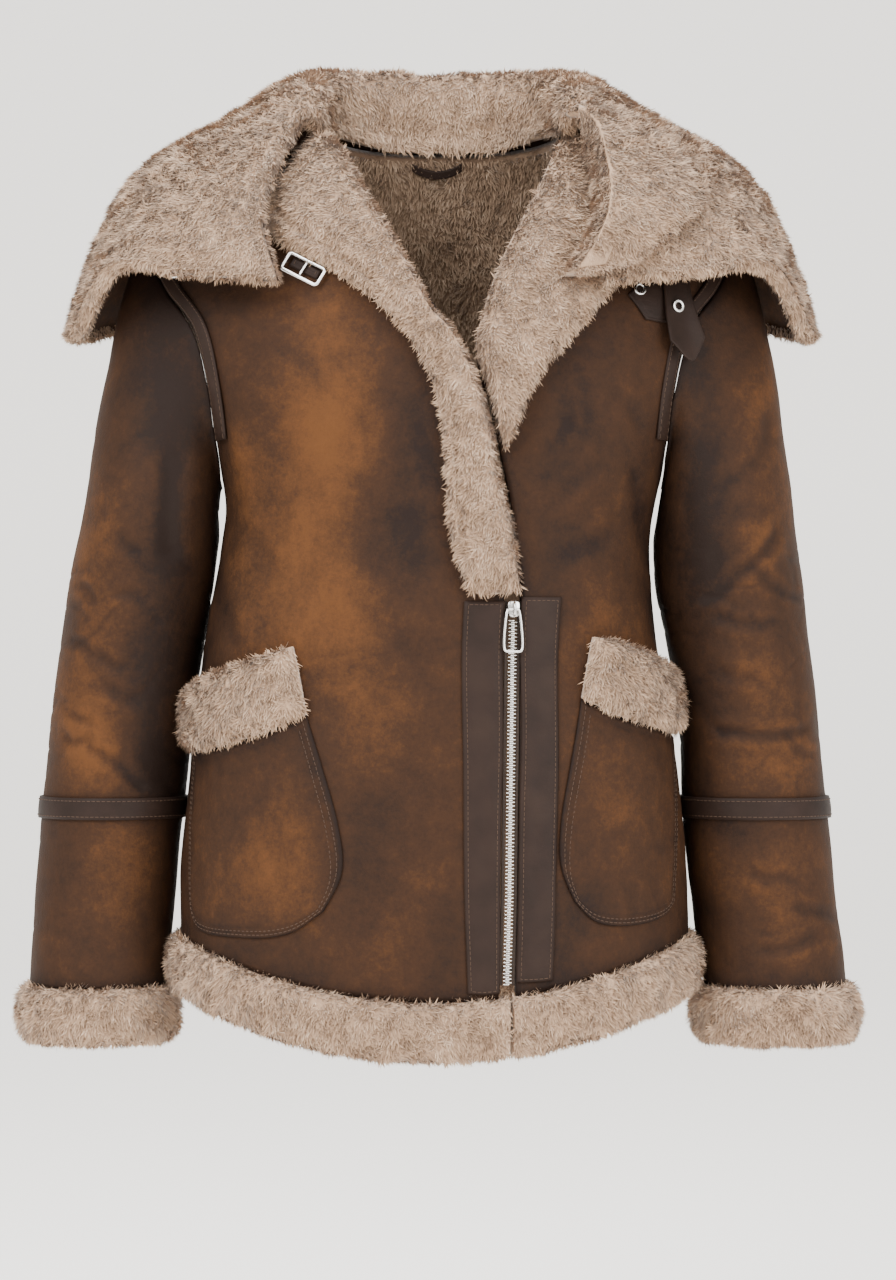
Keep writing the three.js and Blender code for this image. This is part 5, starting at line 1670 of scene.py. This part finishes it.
def stitch_row(line, length_mm, pitch=3.7, half_wide=0.32, rise=0.4):
    """Stitches along a line: each is a short rounded bar that dips into the leather at both ends. line gives
    points at shares of its length and distances out."""
    count = max(int(length_mm / pitch), 1)
    start = (np.arange(count) + 0.15) / count
    share = np.array([0.0, 0.12, 0.35, 0.58, 0.7])
    height = np.array([-0.35, 0.5, 1.0, 0.5, -0.35]) * rise
    t = start[:, None] + share[None] / count
    core = line(t, np.broadcast_to(height[None], t.shape))
    lifted = unit(line(t, np.broadcast_to(height[None] + 0.5, t.shape)) - core)
    ahead = unit(np.gradient(core, axis=1))
    beside = unit(np.cross(ahead, lifted))
    a = np.arange(6) / 6 * 2 * math.pi
    points = (
        core[:, :, None]
        + beside[:, :, None] * (half_wide * np.cos(a))[None, None, :, None]
        + lifted[:, :, None] * (half_wide * 0.8 * np.sin(a))[None, None, :, None]
    )
    section = np.arange(6)
    stations = np.arange(4)[:, None]
    a0 = stations * 6 + section
    a1 = stations * 6 + (section + 1) % 6
    one = np.stack([a0, a1, a1 + 6, a0 + 6], axis=-1).reshape(-1, 4)
    faces = (np.arange(count)[:, None, None] * 30 + one[None]).reshape(-1, 4)
    return points.reshape(-1, 3), faces


def line_over(area, shares, out):
    """A line on a front through points given as shares of an area, as a function of share and distance out,
    with its length."""
    at = on_front(area, out)
    s, t = np.array(shares, dtype=float).T
    path = at(s, t)
    length = np.concatenate([[0], np.cumsum(np.linalg.norm(np.diff(path, axis=0), axis=1))])

    def line(share, more):
        return at(np.interp(share * length[-1], length, s), np.interp(share * length[-1], length, t), more)

    return line, length[-1]


def inset_path(area, distance, sides, steps=60):
    """Shares along some sides of an area, a distance in from its edges: left, bottom, right or top."""
    s, t = share_grid(21, 21)
    p = area(s, t)
    grid = torso_point(p[..., 0], p[..., 1], 0)
    wide = np.linalg.norm(np.diff(grid, axis=1), axis=-1).sum(axis=1)
    tall = np.linalg.norm(np.diff(grid, axis=0), axis=-1).sum(axis=0)
    low_s, low_t = distance / wide.mean(), distance / tall.mean()
    corner = {
        "top_left": (low_s, 1 - low_t), "bottom_left": (low_s, low_t),
        "bottom_right": (1 - low_s, low_t), "top_right": (1 - low_s, 1 - low_t),
    }
    order = {
        "left": ("top_left", "bottom_left"), "bottom": ("bottom_left", "bottom_right"),
        "right": ("bottom_right", "top_right"), "top": ("top_right", "top_left"),
    }
    shares = []
    for side in sides:
        first, last = (np.array(corner[k]) for k in order[side])
        shares += [tuple(lerp(first, last, k / steps)) for k in range(steps)]
    shares.append(tuple(last))
    return shares


def build_stitches():
    """Rows of stitches along the pockets, the zip strips, the sleeve and armhole strips and the straps."""
    rows = []
    for node, area in pocket_areas().items():
        if "fur" not in node:
            for distance in (3.5, 7.5):
                line, length = line_over(
                    area, inset_path(area, distance, ("left", "bottom", "right")), REST + POCKET_THICK - 0.35
                )
                rows.append(stitch_row(line, length))
    for area in placket_areas().values():
        line, length = line_over(
            area, inset_path(area, 3.0, ("left", "bottom", "right", "top")), REST + BAND_THICK - 0.35
        )
        rows.append(stitch_row(line, length))
    for side in (-1, 1):
        for z in (-468.2, -479.8):
            w = sleeve_row(side, z)

            def around(share, out, side=side, w=w):
                base = sleeve_point(side, share, np.full_like(share, w), 0)
                lift = REST + BAND_THICK + 0.1 + out + sleeve_relief(side, base)
                return sleeve_point(side, share, np.full_like(share, w), lift)

            rows.append(stitch_row(around, 345.0))
        for s in (0.14, 0.86):

            def armhole(share, out, side=side, s=s):
                down = np.abs(share - 0.5) * 2
                row = lerp(TOP_ROW, 5.5, down)
                points = np.zeros(share.shape + (3,))
                for on_back in (False, True):
                    angle = strip_angle(side, row, s, on_back)
                    chosen = torso_point(angle, row, STRIP_LIFT + BAND_THICK - 0.2 + out)
                    points = np.where(((share > 0.5) == on_back)[..., None], chosen, points)
                return points

            rows.append(stitch_row(armhole, 560.0))
    for word, b in BUCKLES.items():
        lift = b["rest"] + STRAP_THICK + WIRE + 0.3
        place = Place(b["x"], b["z"], lift, b["turn"])
        for across in (-9.2, 9.2):

            def strap(share, out, place=place, across=across, b=b, lift=lift):
                top = b["rest"] + STRAP_THICK - lift - 0.15 + out
                return place.point(across + 0 * share, lerp(0.0, b["strap_end"] - 1.0, share), top)

            rows.append(stitch_row(strap, b["strap_end"]))
    points, faces = merge(rows)
    obj = make_object("stitches", points, faces, [finishes.get("thread")])
    settle(obj)


# The stage, the sizes and colours that a user may change, the operators and the panel.


def colour(name, about, value):
    return bpy.props.FloatVectorProperty(
        name=name, description=about, subtype="COLOR", size=3, min=0, max=1, default=value
    )


class CoatColours(bpy.types.PropertyGroup):
    """Colours of the hide, the fur and the fittings."""

    # Dark hide also stands for the painted shade in creases and on the sleeves' inner sides.
    hide_dark_and_shade: colour("Dark hide", "Hide in creases and worn dark patches", (0.0105, 0.0052, 0.0034))
    hide_mid: colour("Hide", "The hide's main colour", (0.031, 0.0132, 0.0056))
    # Tan hide also stands for the painted light where the hide stands out.
    hide_tan_and_light: colour("Tan hide", "Hide where it is rubbed to tan", (0.074, 0.029, 0.0092))
    # Fur roots: the deepest fur colour, also the painted shade deep in the pile.
    fur_dark_and_root_shade: colour("Fur roots", "The deepest fur colour", (0.16, 0.097, 0.06))
    fur_mid: colour("Fur", "The fur's main colour", (0.37, 0.245, 0.158))
    fur_light: colour("Fur tips", "The palest fur colour", (0.57, 0.42, 0.3))
    strip: colour("Strips", "Smooth leather strips and straps", (0.0155, 0.0082, 0.0056))
    nickel: colour("Metal", "Zip, buckles and eyelets", (0.74, 0.72, 0.69))
    tape: colour("Zip tape", "The woven tapes of the zip", (0.03, 0.02, 0.015))
    thread: colour("Thread", "Stitches", (0.05, 0.028, 0.017))
    floor: colour("Floor", "Floor and backdrop", (0.93, 0.91, 0.88))


class CoatSizes(bpy.types.PropertyGroup):
    """Sizes of the pile."""

    pile_length: bpy.props.FloatProperty(
        name="Pile length", description="Length of a tuft", default=0.0062, min=0.001, max=0.03,
        subtype="DISTANCE", unit="LENGTH",
    )
    tuft_width: bpy.props.FloatProperty(
        name="Tuft width", description="Width of a tuft at its root", default=0.0014, min=0.0002, max=0.003,
        subtype="DISTANCE", unit="LENGTH",
    )
    pile_density: bpy.props.FloatProperty(
        name="Pile density", description="Tufts on each square millimetre", default=0.6, min=0.1, max=3,
        subtype="FACTOR",
    )


class CoatOperator(bpy.types.Operator):
    """Shared by the coat's operators."""

    bl_options = {"REGISTER", "UNDO"}


class COAT_OT_panels(CoatOperator):
    """Build the two fronts and the back"""

    bl_idname = "coat.panels"
    bl_label = "Fronts and back"

    def execute(self, context):
        build_panels()
        return {"FINISHED"}


class COAT_OT_sleeves(CoatOperator):
    """Build the upper and lower sleeves with their bands"""

    bl_idname = "coat.sleeves"
    bl_label = "Sleeves"

    def execute(self, context):
        build_sleeves()
        return {"FINISHED"}


class COAT_OT_pockets(CoatOperator):
    """Build the patch pockets and their fur bands"""

    bl_idname = "coat.pockets"
    bl_label = "Pockets"

    def execute(self, context):
        build_pockets()
        build_pocket_fur()
        return {"FINISHED"}


class COAT_OT_strips(CoatOperator):
    """Build the smooth leather strips, the straps and the hanger loop"""

    bl_idname = "coat.strips"
    bl_label = "Strips and straps"

    def execute(self, context):
        build_strips()
        build_hanger()
        return {"FINISHED"}


class COAT_OT_collar(CoatOperator):
    """Build the two halves of the fur collar"""

    bl_idname = "coat.collar"
    bl_label = "Collar"

    def execute(self, context):
        build_collar()
        return {"FINISHED"}


class COAT_OT_lapels(CoatOperator):
    """Build the two fur lapels"""

    bl_idname = "coat.lapels"
    bl_label = "Lapels"

    def execute(self, context):
        build_lapels()
        return {"FINISHED"}


class COAT_OT_hem(CoatOperator):
    """Build the fur rolls along the hem and round the cuffs"""

    bl_idname = "coat.hem"
    bl_label = "Hem and cuffs"

    def execute(self, context):
        build_hem()
        build_cuffs()
        return {"FINISHED"}


class COAT_OT_lining(CoatOperator):
    """Build the short fur inside the back of the neck"""

    bl_idname = "coat.lining"
    bl_label = "Inside fur"

    def execute(self, context):
        build_lining_pile()
        return {"FINISHED"}


class COAT_OT_zip(CoatOperator):
    """Build the zip's tapes, teeth, slider and pull"""

    bl_idname = "coat.zip"
    bl_label = "Zip"

    def execute(self, context):
        build_tapes()
        build_teeth()
        build_slider()
        return {"FINISHED"}


class COAT_OT_buckles(CoatOperator):
    """Build the buckles with their straps, and the eyelets"""

    bl_idname = "coat.buckles"
    bl_label = "Buckles and eyelets"

    def execute(self, context):
        build_buckles()
        build_eyelets()
        return {"FINISHED"}


class COAT_OT_stitches(CoatOperator):
    """Build the rows of stitches"""

    bl_idname = "coat.stitches"
    bl_label = "Stitches"

    def execute(self, context):
        build_stitches()
        return {"FINISHED"}


def area_light(name, place, aim, size, power):
    data = bpy.data.lights.new(name, "AREA")
    data.shape = "RECTANGLE"
    data.size, data.size_y = size
    data.energy = power
    lamp = bpy.data.objects.new(name, data)
    lamp.location = place
    direction = np.array(aim, dtype=float) - np.array(place, dtype=float)
    flat = math.hypot(direction[0], direction[1])
    lamp.rotation_euler = (math.atan2(flat, -direction[2]), 0, math.atan2(-direction[0], direction[1]))
    bpy.context.scene.collection.objects.link(lamp)


class COAT_OT_stage(CoatOperator):
    """Build the floor with its backdrop, the lights and the camera"""

    bl_idname = "coat.stage"
    bl_label = "Stage"

    def execute(self, context):
        floor_z = CAD_BOX[0][2] * 1000 - 260
        bend = [(-7500, 0), (6200, 0), (6900, 150), (7300, 600), (7400, 1500), (7400, 4400)]
        line, _ = smooth_line(bend, steps=12)
        x = np.array([-7500.0, 7500.0])
        grid = np.stack(
            [
                np.broadcast_to(x[None], (len(line), 2)),
                np.broadcast_to(line[:, :1], (len(line), 2)),
                np.broadcast_to(line[:, 1:], (len(line), 2)) + floor_z,
            ],
            axis=-1,
        )
        finish = Finish("floor")
        floor = (*context.scene.coat_colours.floor, 1)
        finish.set(Base_Color=floor, Roughness=0.95, Specular_IOR_Level=0.1)
        finish.set(Emission_Color=floor, Emission_Strength=0.5)
        obj = make_object("floor", grid.reshape(-1, 3), grid_faces(2, len(line)), [finish.material])
        obj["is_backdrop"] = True
        area_light("key", (-1.7, -2.3, 1.5), (0, 0, -0.3), (1.6, 1.6), 128)
        area_light("fill", (2.0, -2.4, 0.7), (0, 0, -0.35), (1.8, 1.8), 88)
        area_light("top", (0, -0.4, 2.3), (0, 0, -0.3), (2.2, 1.6), 104)
        area_light("back", (0, 1.1, 1.9), (0, 0, 0), (2.0, 0.8), 20)
        world = context.scene.world or bpy.data.worlds.new("world")
        context.scene.world = world
        world.use_nodes = True
        nodes = world.node_tree.nodes
        background = nodes.get("Background") or nodes.new("ShaderNodeBackground")
        background.inputs["Color"].default_value = (1.0, 0.98, 0.95, 1)
        background.inputs["Strength"].default_value = 1.3
        data = bpy.data.cameras.new("camera")
        data.lens = 112.5
        data.sensor_width = 36
        camera = bpy.data.objects.new("camera", data)
        camera.location = (0.005, -3.0, -0.349)
        camera.rotation_euler = (math.pi / 2, 0, 0)
        context.scene.collection.objects.link(camera)
        context.scene.camera = camera
        return {"FINISHED"}


OPERATORS = (
    COAT_OT_panels, COAT_OT_sleeves, COAT_OT_pockets, COAT_OT_strips, COAT_OT_collar, COAT_OT_lapels,
    COAT_OT_hem, COAT_OT_lining, COAT_OT_zip, COAT_OT_buckles, COAT_OT_stitches, COAT_OT_stage,
)


class COAT_PT_panel(bpy.types.Panel):
    """The coat's sizes, colours and pieces"""

    bl_idname = "COAT_PT_panel"
    bl_label = "Shearling coat"
    bl_space_type = "VIEW_3D"
    bl_region_type = "UI"
    bl_category = "Coat"

    def draw(self, context):
        for group in (context.scene.coat_sizes, context.scene.coat_colours):
            for name in group.__annotations__:
                self.layout.prop(group, name)
        for operator in OPERATORS:
            self.layout.operator(operator.bl_idname)


CLASSES = (CoatColours, CoatSizes, *OPERATORS, COAT_PT_panel)


def register():
    for one in CLASSES:
        bpy.utils.register_class(one)
    bpy.types.Scene.coat_colours = bpy.props.PointerProperty(type=CoatColours)
    bpy.types.Scene.coat_sizes = bpy.props.PointerProperty(type=CoatSizes)


def unregister():
    del bpy.types.Scene.coat_colours
    del bpy.types.Scene.coat_sizes
    for one in reversed(CLASSES):
        bpy.utils.unregister_class(one)


def main():
    register()
    for operator in OPERATORS:
        name = operator.bl_idname.split(".")[1]
        getattr(bpy.ops.coat, name)()
    boxes = {"cad_box": CAD_BOX, "visual_box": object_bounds()}
    boxes = {name: [[float(v) for v in corner] for corner in box] for name, box in boxes.items()}


if __name__ == "__main__":
    main()
